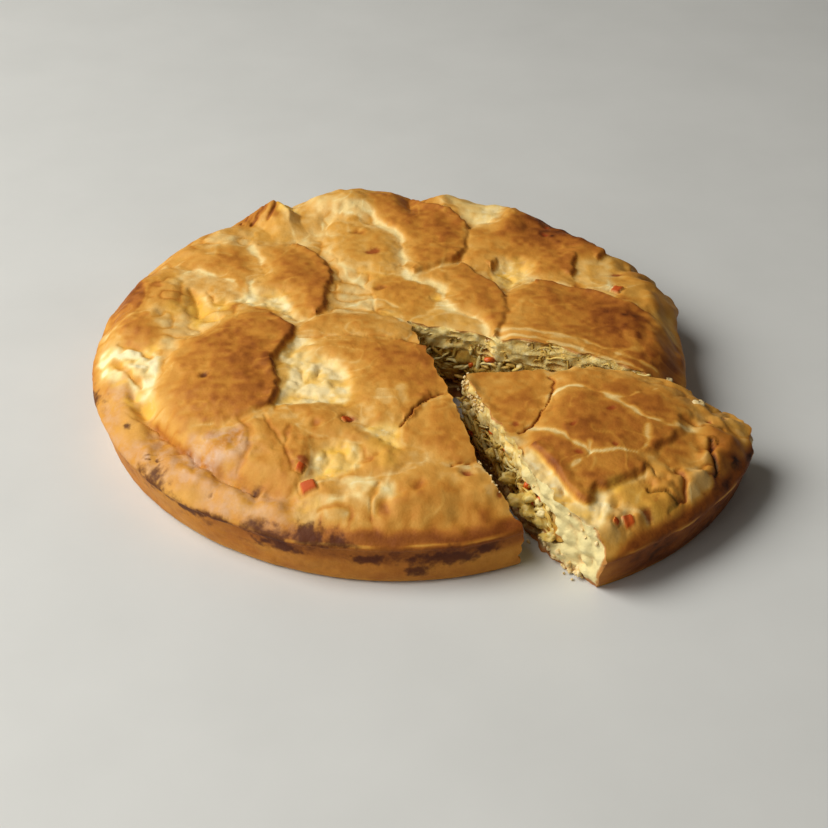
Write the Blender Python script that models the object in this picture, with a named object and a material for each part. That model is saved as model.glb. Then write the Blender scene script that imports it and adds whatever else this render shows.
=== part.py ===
"""A round chicken and cream cheese pie, baked in a tin, with one slice drawn part of the way out.

The crust is a baked batter disc whose top rose in overlapping blisters. A layer of
shredded filling runs through it and shows at the cuts. Lengths and places below are
in millimetres, azimuths in degrees from +X, and the meshes are made in metres."""

import math
from collections import namedtuple
from itertools import product

import bmesh
import bpy
import numpy as np
from mathutils import Matrix, Vector

MM = 0.001

# Driving dimensions of the whole pie
WIDEST_RADIUS = 119.6
FOOT_RADIUS = 115.2
LEDGE_HEIGHT = 18.8
DOME_HEIGHT = 30.5
DOME_EDGE_HEIGHT = 23.0
BACK_RISE = 0.12
CRUST_CELLS = 54

# Radii and heights of the shoulder outside the dome, and of the wall baked against the tin
SHOULDER_RADIUS = 105
SHOULDER = ((110.5, 24.9), (114.6, 23.2), (117.6, 21.2), (WIDEST_RADIUS, LEDGE_HEIGHT))
WALL = ((119.3, 16.0), (118.2, 9.0), (116.8, 2.4), (FOOT_RADIUS, 0.0))

# How much farther out the pie's foot stands near its front, and the azimuth where it is farthest out
FOOT_FLARE = 3.6
FLARE_TOWARD = 285.0

# Driving dimensions of the filling layer
FILLING_RADIUS = 99.0
FILLING_ROUNDING = 11.0
FLOOR_THICKNESS = 5.5
LID_THICKNESS = 7.0
FILLING_GAP = 0.3
FILLING_STEPS = 36

# The two places that a disc is turned about: the pie's own centre, and the slice's
PIE_CENTRE = (0.0, 0.0)
SLICE_CENTRE = (28.5, -15.0)

# The gap in the pie, from its outer corner near the front, round its point, to its corner at the right
GAP_OUTLINE = (
    (58.0, -134.0), (50.3, -112.5), (45.0, -105.5), (39.0, -98.3), (33.2, -86.5), (27.3, -66.5),
    (21.3, -46.1), (7.0, -1.2), (24.9, -5.6), (37.3, -9.4), (43.8, -14.0), (62.4, -19.6),
    (76.3, -24.6), (90.0, -29.4), (99.3, -33.0), (118.0, -37.0), (140.0, -41.5),
)

# The slice, from its point along the near cut, round the outside, and back along the far cut
SLICE_OUTLINE = (
    (28.4, -37.4), (33.0, -49.5), (38.2, -60.0), (44.8, -76.0), (50.2, -90.5), (60.0, -106.5),
    (75.6, -119.5), (88.0, -134.0), (140.0, -140.0), (165.0, -110.0), (141.0, -75.0), (138.2, -64.0),
    (137.0, -56.0), (134.6, -50.0), (130.5, -45.6), (122.6, -43.6), (117.0, -41.4), (108.7, -39.6),
    (98.8, -37.4), (85.0, -34.0), (75.8, -33.4), (60.6, -34.6), (43.0, -34.4),
)

# The cut walls: the size of their facets, how uneven they are, and how far the filling stands back
CUT_STEP = 4.5
CUT_ROWS = 10
CUT_LOW = -4.0
CUT_HIGH = 46.0
CUT_ROUGHNESS = 0.9
FILLING_ROUGHNESS = 2.2
FILLING_SETBACK = 1.5

# Points closer than this, in metres, become one after a cut
SLIVER = 0.00003

# A blister: its middle, half its width and length, its turn, how high it stands, and the
# azimuth towards which it leans up, by what share of that height
Blister = namedtuple("Blister", "x y wide long turn rise lean_to lean")

BLISTERS = (
    Blister(-79, 53, 23, 15, -8, 3.4, 0, 0.2),
    Blister(-78, 27, 20, 10, -15, 2.6, 90, 0.2),
    Blister(-42, 40, 17, 29, -12, 5.0, -10, 0.35),
    Blister(-62, -25, 24, 36, 0, 6.0, -45, 0.3),
    Blister(-13, 1, 25, 12, 6, 3.6, 90, 0.2),
    Blister(-2, -36, 20, 25, 12, 5.0, 60, 0.25),
    Blister(20, -69, 13, 17, 0, 3.8, 0, 0.1),
    Blister(-38, -77, 31, 17, -12, 4.6, 250, 0.3),
    Blister(14, -99, 36, 13, -8, 3.2, 90, 0.2),
    Blister(12, 78, 18, 36, 6, 5.8, 0, 0.3),
    Blister(-14, 99, 27, 16, 0, 6.6, 80, 0.4),
    Blister(-16, 66, 17, 23, 0, 4.0, 90, 0.1),
    Blister(-51, 86, 18, 14, -20, 3.0, 90, 0.1),
    Blister(33, 18, 15, 26, 15, 4.2, 0, 0.2),
    Blister(6, 18, 15, 11, -20, 2.8, 0, 0.1),
    Blister(27, -1, 12, 7, 0, 2.6, 0, 0.1),
    Blister(80, 2, 35, 30, -20, 6.0, 200, 0.15),
    Blister(66, -17, 26, 14, -16, 5.6, 250, 0.1),
    Blister(62, 74, 28, 32, 30, 5.6, 40, 0.2),
    Blister(100, 38, 12, 20, 20, 2.8, 0, 0.1),
    Blister(-102, 6, 12, 17, 0, 2.6, 180, 0.1),
    Blister(-94, -13, 10, 10, 0, 2.2, 0, 0.1),
)

SLICE_BLISTERS = (
    Blister(46, -50, 16, 15, 0, 2.6, 0, 0.2),
    Blister(84, -66, 28, 31, 8, 5.4, -105, 0.3),
    Blister(117, -62, 11, 15, 0, 1.2, 0, 0.1),
    Blister(101, -98, 14, 9, 35, 2.6, 0, 0.1),
    Blister(84, -112, 11, 8, 0, 2.0, 0, 0.1),
)

# Places where the top tore open and stayed soft and low
TEARS = (
    Blister(-27, -44, 9, 13, 0, -2.4, 0, 0.0),
    Blister(-104, -30, 7, 15, 15, -2.0, 0, 0.0),
    Blister(-74, 9, 9, 6, 0, -2.0, 0, 0.0),
    Blister(52, 42, 6, 9, 0, -2.4, 0, 0.0),
    Blister(4, -79, 8, 5, 0, -1.6, 0, 0.0),
    Blister(-15, -90, 7, 4, 0, -1.4, 0, 0.0),
    Blister(78, -103, 11, 5, -15, -1.6, 0, 0.0),
    Blister(112, -82, 4, 4, 0, -2.4, 0, 0.0),
    Blister(104, -96, 4, 3, 0, -2.2, 0, 0.0),
)

BLISTER_SQUARENESS = 2.6
BLISTER_EDGE = 3.6

# How far, and over what length, the blisters' outlines wander
WARP = 3.0
WARP_LENGTH = 22.0

# How much higher than the even dome the top's edge stands, by azimuth: knobs and dips round the back
RIM_LEVELS = (
    (0, 2.0), (16, 3.0), (25, 0.5), (35, 3.0), (43, 0.0), (51, -0.5), (60, 3.5), (67, 2.0), (77, 4.0),
    (86, -3.0), (91, 1.5), (102, 4.5), (112, 3.0), (116, 1.5), (120, 6.5), (125, 4.0), (129, 0.5),
    (137, 2.5), (148, 2.0), (154, 0.0), (165, 3.0), (180, 2.5), (200, 0.0), (340, 0.0),
)

# The crease inside the smooth rim at the left front
CREASE_RADIUS = 106.5
CREASE_WIDTH = 4.4
CREASE_DEPTH = 3.4
CREASE_FROM = 196.0
CREASE_TO = 258.0
CREASE_FADE = 12.0

# Red and orange bits of vegetable that stand out of the crust: place, width and turn
CRUST_BITS = ((-27.0, -96.0, 6.0, 20.0), (93.0, 28.0, 6.0, 60.0), (-14.0, -66.0, 4.5, 40.0))
SLICE_BITS = ((85.5, -111.0, 6.5, 70.0),)

# Strands of chicken that stand out of the cut filling: one in so many millimetres of cut
STRAND_SPACING = 9.0
FAR_CUTS_MEET = 66.0
FAR_CUTS_FRONT = -45.0
STRAND_RIM_GAP = 12.0
STRAND_CRUST_GAP = 4.5
STRAND_RADIUS = 1.0
STRAND_TAPER = 0.7
STRAND_LENGTH = 9.0
STRAND_SIDES = 5


def soft_step(low, high, value):
    """Rises smoothly from 0 at low to 1 at high."""
    share = np.clip((value - low) / (high - low), 0.0, 1.0)
    return share * share * (3.0 - 2.0 * share)


def waves(x, y, z=0.0, seed=0):
    """Smooth random hills and hollows from -1 to 1, about one unit apart."""
    place = np.stack(np.broadcast_arrays(x, y, z)).astype(float)
    cell = np.floor(place).astype(np.int64)
    part = place - cell
    part = part * part * (3.0 - 2.0 * part)
    total = np.zeros(place.shape[1:])
    for corner in product((0, 1), repeat=3):
        i, j, k = (cell[axis] + corner[axis] for axis in range(3))
        key = (i * 374761393 + j * 668265263 + k * 974711087 + seed * 1274126177) & 0xFFFFFFFF
        key = ((key ^ (key >> 13)) * 1274126177) & 0xFFFFFFFF
        level = ((key ^ (key >> 16)) & 0xFFFF) / 32767.5 - 1.0
        for axis in range(3):
            level = level * (part[axis] if corner[axis] else 1.0 - part[axis])
        total = total + level
    return total


def swell(blister, x, y):
    """How far one blister, or tear, lifts the surface at each place."""
    turn = math.radians(blister.turn)
    across, along = x - blister.x, y - blister.y
    u = (across * math.cos(turn) + along * math.sin(turn)) / blister.wide
    v = (along * math.cos(turn) - across * math.sin(turn)) / blister.long
    power = BLISTER_SQUARENESS
    distance = (np.abs(u) ** power + np.abs(v) ** power) ** (1 / power)
    narrower = min(blister.wide, blister.long)
    inside = (1.0 - distance) * narrower
    edge = min(BLISTER_EDGE, 0.6 * narrower)
    lean_to = math.radians(blister.lean_to)
    uphill = across * math.cos(lean_to) + along * math.sin(lean_to)
    leaning = 1.0 + blister.lean * uphill / blister.wide
    crown = 0.75 + 0.25 * soft_step(0.0, 3 * edge, inside)
    return blister.rise * soft_step(0.0, edge, inside) * crown * leaning


def relief(x, y, blisters):
    """The lift of the baked top over its even dome."""
    warped_x = x + WARP * waves(x / WARP_LENGTH, y / WARP_LENGTH, seed=3)
    warped_y = y + WARP * waves(x / WARP_LENGTH, y / WARP_LENGTH, seed=4)
    lifted = np.zeros(np.shape(x))
    for blister in blisters:
        lifted = np.maximum(lifted, swell(blister, warped_x, warped_y))
    for tear in TEARS:
        lifted = lifted + swell(tear, warped_x, warped_y)
    return lifted + 0.7 * waves(x / 17, y / 17, seed=5) + 0.45 * waves(x / 8, y / 8, seed=6)


def crease(radius, azimuth):
    """The groove inside the smooth rim, fading out at both of its ends."""
    turned = np.degrees(azimuth) % 360
    starts = soft_step(CREASE_FROM, CREASE_FROM + CREASE_FADE, turned)
    ends = 1.0 - soft_step(CREASE_TO - CREASE_FADE, CREASE_TO, turned)
    groove = np.exp(-(((radius - CREASE_RADIUS) / CREASE_WIDTH) ** 2))
    return -CREASE_DEPTH * starts * ends * groove


def rim_rise(radius, azimuth):
    """How much the knobs and dips lift the pie's edge at each place."""
    azimuths, rises = np.array(RIM_LEVELS).T
    rise = np.interp(np.degrees(azimuth) % 360, azimuths, rises, period=360)
    return rise * soft_step(80.0, 98.0, radius) * soft_step(117.0, 110.0, radius)


def foot_flare(azimuth, height):
    """How much farther out the pie's wall stands near its foot at the front."""
    toward = np.maximum(np.cos(azimuth - math.radians(FLARE_TOWARD)), 0.0) ** 4
    return FOOT_FLARE * toward * soft_step(LEDGE_HEIGHT, 0.0, height)


def dome_height(radius):
    """The even dome under the blisters."""
    return DOME_EDGE_HEIGHT + (DOME_HEIGHT - DOME_EDGE_HEIGHT) * (1.0 - (radius / 120.0) ** 4)


def crust_profile():
    """Radii and heights from the middle of the top, over the shoulder, down the tin's wall to the foot."""
    top = [(radius, dome_height(radius)) for radius in range(0, SHOULDER_RADIUS + 1, 5)]
    radii, heights = np.array(top + list(SHOULDER) + list(WALL)).T
    return radii, heights


def disc_from_square(a, b):
    """Spreads a square's points evenly over a disc, as shares of its radius and azimuths."""
    wide = np.abs(a) > np.abs(b)
    reach = np.where(wide, a, b)
    safe = np.where(reach == 0.0, 1.0, reach)
    angle = np.where(wide, math.pi / 4 * b / safe, math.pi / 2 - math.pi / 4 * a / safe)
    return np.abs(reach), np.where(reach < 0.0, angle + math.pi, angle)


def baked_shape(share, azimuth, centre, blisters):
    """Places on the crust's outside, from the middle of its top (share 0) to its foot (share 1)."""
    radii, heights = crust_profile()
    lengths = np.concatenate([[0.0], np.cumsum(np.hypot(np.diff(radii), np.diff(heights)))])
    along = share * lengths[-1]
    radius = np.interp(along, lengths, radii)
    height = np.interp(along, lengths, heights)
    height = height * (1.0 + BACK_RISE * np.sin(azimuth) * soft_step(70.0, 118.0, radius))
    x = centre[0] + radius * np.cos(azimuth)
    y = centre[1] + radius * np.sin(azimuth)
    on_top = 1.0 - soft_step(104.0, 116.0, radius)
    height = height + on_top * relief(x, y, blisters)
    on_rim = soft_step(98.0, 108.0, radius) * soft_step(2.0, 8.0, height)
    height = height + on_rim * soft_step(16.0, 22.0, height) * 0.8 * waves(x / 9, y / 9, seed=8)
    bulge = on_rim * (0.9 * waves(x / 14, y / 14, height / 14, seed=7))
    if centre == PIE_CENTRE:
        height = height + crease(radius, azimuth) + rim_rise(radius, azimuth)
        bulge = bulge + foot_flare(azimuth, height)
    x = x + bulge * np.cos(azimuth)
    y = y + bulge * np.sin(azimuth)
    height = np.where(share > 0.9999, 0.0, np.maximum(height, 0.0))
    return x, y, height


def mesh_object(name, mesh_builder, collection):
    """Makes an object from a bmesh and puts it in a collection."""
    mesh = bpy.data.meshes.new(name)
    bmesh.ops.recalc_face_normals(mesh_builder, faces=mesh_builder.faces)
    mesh_builder.to_mesh(mesh)
    mesh_builder.free()
    item = bpy.data.objects.new(name, mesh)
    collection.objects.link(item)
    return item


def crust_disc(name, centre, blisters, collection):
    """A whole baked disc, solid, with a flat foot."""
    builder = bmesh.new()
    bmesh.ops.create_grid(builder, x_segments=CRUST_CELLS, y_segments=CRUST_CELLS, size=1.0)
    square = np.array([vert.co for vert in builder.verts])
    share, azimuth = disc_from_square(square[:, 0], square[:, 1])
    places = np.stack(baked_shape(share, azimuth, centre, blisters), axis=-1)
    for vert, place in zip(builder.verts, places):
        vert.co = Vector(place) * MM
    foot = [edge for edge in builder.edges if edge.is_boundary]
    bmesh.ops.contextual_create(builder, geom=foot)
    return mesh_object(name, builder, collection)


def filling_height(radius):
    """The top of the filling, a lid's thickness under the dome."""
    return dome_height(radius) - LID_THICKNESS


def filling_disc(name, centre, grow, collection):
    """The filling's whole layer as a turned lens, or the pocket for it where it grows by the gap."""
    rounding = FILLING_RADIUS - FILLING_ROUNDING
    edge_top = filling_height(rounding)
    middle = (edge_top + FLOOR_THICKNESS) / 2
    half = (edge_top - FLOOR_THICKNESS) / 2 + grow
    outline = [(radius, filling_height(radius) + grow) for radius in (0.0, 30.0, 60.0, 76.0)]
    for angle in range(90, -91, -30):
        turned = math.radians(angle)
        reach = rounding + (FILLING_ROUNDING + grow) * math.cos(turned)
        outline.append((reach, middle + half * math.sin(turned)))
    outline.append((0.0, FLOOR_THICKNESS - grow))
    builder = bmesh.new()
    corners = [builder.verts.new(Vector((radius, 0.0, height)) * MM) for radius, height in outline]
    edges = [builder.edges.new(pair) for pair in zip(corners, corners[1:])]
    bmesh.ops.spin(
        builder, geom=corners + edges, cent=(0, 0, 0), axis=(0, 0, 1), angle=2 * math.pi,
        steps=FILLING_STEPS,
    )
    bmesh.ops.remove_doubles(builder, verts=builder.verts, dist=1e-6)
    bmesh.ops.translate(builder, verts=builder.verts, vec=Vector((*centre, 0.0)) * MM)
    return mesh_object(name, builder, collection)


def even_points(outline, step):
    """Points about a step apart along a closed outline, its corners among them."""
    points = []
    for start, end in zip(outline, outline[1:] + outline[:1]):
        start, end = np.array(start), np.array(end)
        pieces = max(1, round(np.hypot(*(end - start)) / step))
        points += [start + (end - start) * k / pieces for k in range(pieces)]
    return np.array(points)


def outward(points):
    """The level direction out of a closed outline at each of its points."""
    ahead = np.roll(points, -1, axis=0) - np.roll(points, 1, axis=0)
    area = np.sum(points[:, 0] * np.roll(points[:, 1], -1) - points[:, 1] * np.roll(points[:, 0], -1))
    normal = np.stack([ahead[:, 1], -ahead[:, 0]], axis=-1) * np.sign(area)
    return normal / np.linalg.norm(normal, axis=1)[:, None]


def rough_column(name, outline, roughness, setback, seed, collection):
    """A closed column over an outline, its walls uneven as a torn cut is."""
    points = even_points(outline, CUT_STEP)
    normals = outward(points)
    builder = bmesh.new()
    floor = builder.faces.new([builder.verts.new((*point, CUT_LOW)) for point in points])
    row_height = (CUT_HIGH - CUT_LOW) / CUT_ROWS
    face = floor
    for _ in range(CUT_ROWS):
        made = bmesh.ops.extrude_face_region(builder, geom=[face])["geom"]
        if face is not floor:
            bmesh.ops.delete(builder, geom=[face], context="FACES_ONLY")
        face = next(item for item in made if isinstance(item, bmesh.types.BMFace))
        bmesh.ops.translate(builder, verts=list(face.verts), vec=(0, 0, row_height))
    for vert in builder.verts:
        nearest = int(np.argmin(np.hypot(points[:, 0] - vert.co.x, points[:, 1] - vert.co.y)))
        x, y, z = vert.co
        push = roughness * waves(x / 6, y / 6, z / 5, seed) + setback
        vert.co.x += normals[nearest, 0] * push
        vert.co.y += normals[nearest, 1] * push
    bmesh.ops.scale(builder, verts=builder.verts, vec=(MM, MM, MM))
    return mesh_object(name, builder, collection)


def largest_piece(builder):
    """Drops the loose scraps that a cut leaves beside the main piece."""
    left = set(builder.verts)
    pieces = []
    while left:
        piece, edge = set(), [left.pop()]
        while edge:
            vert = edge.pop()
            piece.add(vert)
            near = {link.other_vert(vert) for link in vert.link_edges} & left
            left -= near
            edge.extend(near)
        pieces.append(piece)
    main = max(pieces, key=len)
    bmesh.ops.delete(builder, geom=[vert for vert in builder.verts if vert not in main], context="VERTS")


def apply_change(item):
    """Makes an object's modifiers part of its mesh, and clears slivers and scraps."""
    bpy.context.view_layer.update()
    evaluated = item.evaluated_get(bpy.context.evaluated_depsgraph_get())
    mesh = bpy.data.meshes.new_from_object(evaluated)
    item.modifiers.clear()
    builder = bmesh.new()
    builder.from_mesh(mesh)
    bmesh.ops.triangulate(builder, faces=builder.faces)
    bmesh.ops.remove_doubles(builder, verts=builder.verts, dist=SLIVER)
    bmesh.ops.dissolve_degenerate(builder, edges=builder.edges, dist=SLIVER)
    largest_piece(builder)
    builder.to_mesh(mesh)
    builder.free()
    item.data = mesh


def boolean(item, cutter, operation):
    """Cuts an object, or keeps what it shares with another."""
    change = item.modifiers.new(operation.title(), "BOOLEAN")
    change.operation = operation
    change.object = cutter
    change.solver = "EXACT"
    apply_change(item)


def strand(name, middle, aim, length, bend, collection):
    """One curved strand of chicken, as a short tapered tube with closed ends, along an aim."""
    builder = bmesh.new()
    bmesh.ops.create_cone(
        builder, cap_ends=True, segments=STRAND_SIDES, radius1=STRAND_RADIUS,
        radius2=STRAND_TAPER * STRAND_RADIUS, depth=length,
    )
    long_edges = [edge for edge in builder.edges if edge.calc_length() > length / 2]
    bmesh.ops.subdivide_edges(builder, edges=long_edges, cuts=3)
    for vert in builder.verts:
        vert.co.x += bend * (1.0 - (2.0 * vert.co.z / length) ** 2)
    turned = Vector(aim).to_track_quat("Z", "Y").to_matrix().to_4x4()
    bmesh.ops.transform(builder, matrix=Matrix.Translation(Vector(middle)) @ turned, verts=builder.verts)
    bmesh.ops.scale(builder, verts=builder.verts, vec=(MM, MM, MM))
    return mesh_object(name, builder, collection)


def strands_along(name, outline, centre, inward, seed, collection):
    """Strands that stand out of the filling along an outline, where the far cuts aren't close together."""
    rng = np.random.default_rng(seed)
    points = even_points(outline, STRAND_SPACING)
    normals = outward(points) * inward
    made = []
    for point, normal in zip(points, normals):
        radius = math.hypot(point[0] - centre[0], point[1] - centre[1])
        cuts_close = point[0] > FAR_CUTS_MEET and point[1] > FAR_CUTS_FRONT
        if radius > FILLING_RADIUS - STRAND_RIM_GAP or cuts_close:
            continue
        lowest = FLOOR_THICKNESS + STRAND_CRUST_GAP
        height = rng.uniform(lowest, filling_height(radius) - STRAND_CRUST_GAP)
        face = point + normal * (rng.uniform(-0.5, 0.8) - FILLING_SETBACK)
        climb = rng.uniform(-0.9, 0.9)
        aim = (-normal[1] * math.cos(climb), normal[0] * math.cos(climb), math.sin(climb))
        tipped = np.array(aim) + rng.uniform(-0.3, 0.3) * np.array((*normal, 0.0))
        length = STRAND_LENGTH * rng.uniform(0.6, 1.0)
        bend = rng.uniform(-1, 1)
        made.append(strand(f"{name}_{len(made)}", (*face, height), tipped, length, bend, collection))
    return made


def vegetable_bit(name, place, blisters, centre, collection):
    """A square bit of pepper or carrot half sunk in the baked top."""
    x, y, width, turn = place
    radii, heights = crust_profile()
    widest = int(np.argmax(radii)) + 1
    radius = math.hypot(x - centre[0], y - centre[1])
    height = float(np.interp(radius, radii[:widest], heights[:widest]))
    height += 0.5 * float(relief(np.array(x), np.array(y), blisters))
    builder = bmesh.new()
    bmesh.ops.create_cube(builder, size=1.0)
    bmesh.ops.scale(builder, verts=builder.verts, vec=(width, 0.7 * width, 0.8 * width))
    turned = Matrix.Translation((x, y, height - 0.25 * width)) @ Matrix.Rotation(math.radians(turn), 4, "Z")
    tipped = turned @ Matrix.Rotation(math.radians(14), 4, "X")
    bmesh.ops.transform(builder, matrix=tipped, verts=builder.verts)
    bmesh.ops.scale(builder, verts=builder.verts, vec=(MM, MM, MM))
    return mesh_object(name, builder, collection)


def fuse(item, pieces):
    """Joins loose pieces to an object by one Boolean union, and removes them."""
    group = bpy.data.collections.new(f"{item.name}_pieces")
    bpy.context.scene.collection.children.link(group)
    for piece in pieces:
        group.objects.link(piece)
    change = item.modifiers.new("Union", "BOOLEAN")
    change.operation = "UNION"
    change.operand_type = "COLLECTION"
    change.collection = group
    change.solver = "EXACT"
    apply_change(item)
    for piece in pieces:
        bpy.data.objects.remove(piece)
    bpy.data.collections.remove(group)


def food_material(name, colour, roughness):
    """A plain baked or moist surface."""
    material = bpy.data.materials.new(name)
    material.use_nodes = True
    shader = material.node_tree.nodes["Principled BSDF"]
    shader.inputs["Base Color"].default_value = (*colour, 1.0)
    shader.inputs["Roughness"].default_value = roughness
    shader.inputs["Metallic"].default_value = 0.0
    return material


def make_pie():
    """Builds the pie and the slice, each a crust round its filling."""
    for item in list(bpy.data.objects):
        bpy.data.objects.remove(item)
    parts = bpy.data.collections.new("chicken_cream_cheese_pie")
    cutters = bpy.data.collections.new("cutters")
    for group in (parts, cutters):
        bpy.context.scene.collection.children.link(group)

    gap = rough_column("gap_cutter", GAP_OUTLINE, CUT_ROUGHNESS, 0.0, 11, cutters)
    filling_gap = rough_column(
        "filling_gap_cutter", GAP_OUTLINE, FILLING_ROUGHNESS, FILLING_SETBACK, 12, cutters
    )
    slice_keep = rough_column("slice_keeper", SLICE_OUTLINE, CUT_ROUGHNESS, 0.0, 13, cutters)
    filling_keep = rough_column(
        "slice_filling_keeper", SLICE_OUTLINE, FILLING_ROUGHNESS, -FILLING_SETBACK, 14, cutters
    )
    pie_pocket = filling_disc("pie_pocket", PIE_CENTRE, FILLING_GAP, cutters)
    slice_pocket = filling_disc("slice_pocket", SLICE_CENTRE, FILLING_GAP, cutters)

    pie_crust = crust_disc("pie_crust", PIE_CENTRE, BLISTERS, parts)
    boolean(pie_crust, gap, "DIFFERENCE")
    boolean(pie_crust, pie_pocket, "DIFFERENCE")
    slice_crust = crust_disc("slice_crust", SLICE_CENTRE, SLICE_BLISTERS, parts)
    boolean(slice_crust, slice_keep, "INTERSECT")
    boolean(slice_crust, slice_pocket, "DIFFERENCE")
    pie_filling = filling_disc("pie_filling", PIE_CENTRE, 0.0, parts)
    boolean(pie_filling, filling_gap, "DIFFERENCE")
    slice_filling = filling_disc("slice_filling", SLICE_CENTRE, 0.0, parts)
    boolean(slice_filling, filling_keep, "INTERSECT")

    fuse(pie_filling, strands_along("pie_strand", GAP_OUTLINE, PIE_CENTRE, -1.0, 21, cutters))
    fuse(slice_filling, strands_along("slice_strand", SLICE_OUTLINE, SLICE_CENTRE, 1.0, 22, cutters))
    pie_bits = [vegetable_bit("pie_bit", bit, BLISTERS, PIE_CENTRE, cutters) for bit in CRUST_BITS]
    fuse(pie_crust, pie_bits)
    slice_bits = [
        vegetable_bit("slice_bit", bit, SLICE_BLISTERS, SLICE_CENTRE, cutters) for bit in SLICE_BITS
    ]
    fuse(slice_crust, slice_bits)

    for item in list(cutters.objects):
        bpy.data.objects.remove(item)
    crust = food_material("baked_crust", (0.47, 0.19, 0.035), 0.45)
    filling = food_material("chicken_filling", (0.62, 0.47, 0.18), 0.55)
    finishes = ((pie_crust, crust), (slice_crust, crust), (pie_filling, filling), (slice_filling, filling))
    for item, material in finishes:
        item.data.materials.clear()
        item.data.materials.append(material)
        item.data.shade_smooth()
        item.data.set_sharp_from_angle(angle=math.radians(40))


make_pie()
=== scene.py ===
"""The baked looks of a round chicken and cream cheese pie, with one slice drawn part of the way out.

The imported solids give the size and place. Each crust is made again here as a fine mesh with its
plates of browned skin, cracks, tears and dimples, cut by the same outlines, and each filling as a
rough core with strands, soft cheese and bits of carrot on it. Lengths and places are in
millimetres and azimuths in degrees from +X, until a mesh is written in metres."""

import math
from collections import namedtuple
from itertools import product

import bmesh
import bpy
import numpy as np
from mathutils import Matrix, Vector


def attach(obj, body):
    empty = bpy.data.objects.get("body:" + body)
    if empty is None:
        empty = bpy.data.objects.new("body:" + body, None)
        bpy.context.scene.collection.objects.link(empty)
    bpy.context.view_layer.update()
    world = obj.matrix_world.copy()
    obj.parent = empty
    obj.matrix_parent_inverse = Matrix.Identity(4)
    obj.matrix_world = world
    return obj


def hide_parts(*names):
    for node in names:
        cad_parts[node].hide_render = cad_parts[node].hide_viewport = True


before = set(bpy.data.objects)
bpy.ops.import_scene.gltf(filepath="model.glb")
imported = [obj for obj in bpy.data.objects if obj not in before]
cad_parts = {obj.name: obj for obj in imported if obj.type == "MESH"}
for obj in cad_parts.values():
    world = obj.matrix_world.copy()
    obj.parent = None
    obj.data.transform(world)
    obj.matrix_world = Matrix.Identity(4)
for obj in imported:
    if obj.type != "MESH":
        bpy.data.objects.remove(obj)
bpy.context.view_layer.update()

MM = 0.001

# Driving dimensions of the pie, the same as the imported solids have
WIDEST_RADIUS = 119.6
FOOT_RADIUS = 115.2
LEDGE_HEIGHT = 18.8
DOME_HEIGHT = 30.5
DOME_EDGE_HEIGHT = 23.0
DOME_REACH = 120.0
BACK_RISE = 0.12
SHOULDER_RADIUS = 105
SHOULDER = ((110.5, 24.9), (114.6, 23.2), (117.6, 21.2), (WIDEST_RADIUS, LEDGE_HEIGHT))
WALL = ((119.3, 16.0), (118.2, 9.0), (116.8, 2.4), (FOOT_RADIUS, 0.0))
FOOT_FLARE = 3.6
FLARE_TOWARD = 285.0
BULGE_DEPTH = 5.0
BULGE_FROM = 6.0
BULGE_TO = 36.0
FILLING_RADIUS = 99.0
FILLING_ROUNDING = 11.0
FLOOR_THICKNESS = 5.5
LID_THICKNESS = 7.0
POCKET_CLEARANCE = 0.3

# How fine the meshes are
CRUST_CELLS = 430
CUT_STEP = 0.8
CURVE_STEP = 2.5
LENS_SIDES = 240
STRAND_SIDES = 6
SHARP_ANGLE = 55

# The gap in the pie, and the slice, as they are cut
GAP_OUTLINE = (
    (58.0, -134.0), (50.3, -112.5), (45.0, -105.5), (39.0, -98.3), (33.2, -86.5), (27.3, -66.5),
    (21.3, -46.1), (7.0, -1.2), (24.9, -5.6), (37.3, -9.4), (43.8, -14.0), (62.4, -19.6),
    (76.3, -24.6), (90.0, -29.4), (99.3, -33.0), (118.0, -37.0), (140.0, -41.5),
)
SLICE_OUTLINE = (
    (28.4, -37.4), (33.0, -49.5), (38.2, -60.0), (44.8, -76.0), (50.2, -90.5), (60.0, -106.5),
    (72.6, -119.5), (84.0, -134.0), (140.0, -140.0), (165.0, -110.0), (136.5, -78.0), (134.6, -66.0),
    (136.4, -56.0), (134.6, -50.0), (130.5, -45.6), (122.6, -43.6), (117.0, -41.4), (108.7, -39.6),
    (98.8, -37.4), (85.0, -34.0), (75.8, -33.4), (60.6, -34.6), (43.0, -34.4),
)
BROWN_CORNER = (137.5, -56.0)
CUT_LOW = -3.0
CUT_HIGH = 44.0
CUT_ROUGHNESS = 0.9
HOLE_DEPTH = 2.2
FILLING_ROUGHNESS = 2.2
FILLING_SETBACK = 1.5

# How much higher than the even dome the top's edge stands, by azimuth
RIM_LEVELS = (
    (0, 2.0), (16, 3.0), (25, 0.5), (35, 3.0), (43, 0.0), (51, -0.5), (60, 3.5), (67, 2.0), (77, 4.0),
    (86, -3.0), (91, 1.5), (102, 4.5), (112, 3.0), (116, 1.5), (120, 6.5), (125, 4.0), (129, 0.5),
    (137, 2.5), (148, 2.0), (154, 0.0), (165, 3.0), (180, 2.5), (200, 0.0), (340, 0.0),
)

# The pale line along the ledge
LEDGE_LINE_HEIGHT = 16.9

# The crease inside the smooth rim at the left front
CREASE_RADIUS = 105.8
CREASE_WIDTH = 3.8
CREASE_DEPTH = 3.6
CREASE_FROM = 196.0
CREASE_TO = 258.0
CREASE_FADE = 12.0

# A plate of skin: how high it stands, how brown and how yellow it is, the azimuth of the side
# where it ends in a dark lip (None for a soft edge all round), and its outline
Plate = namedtuple("Plate", "rise brown yellow lip outline")

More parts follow.
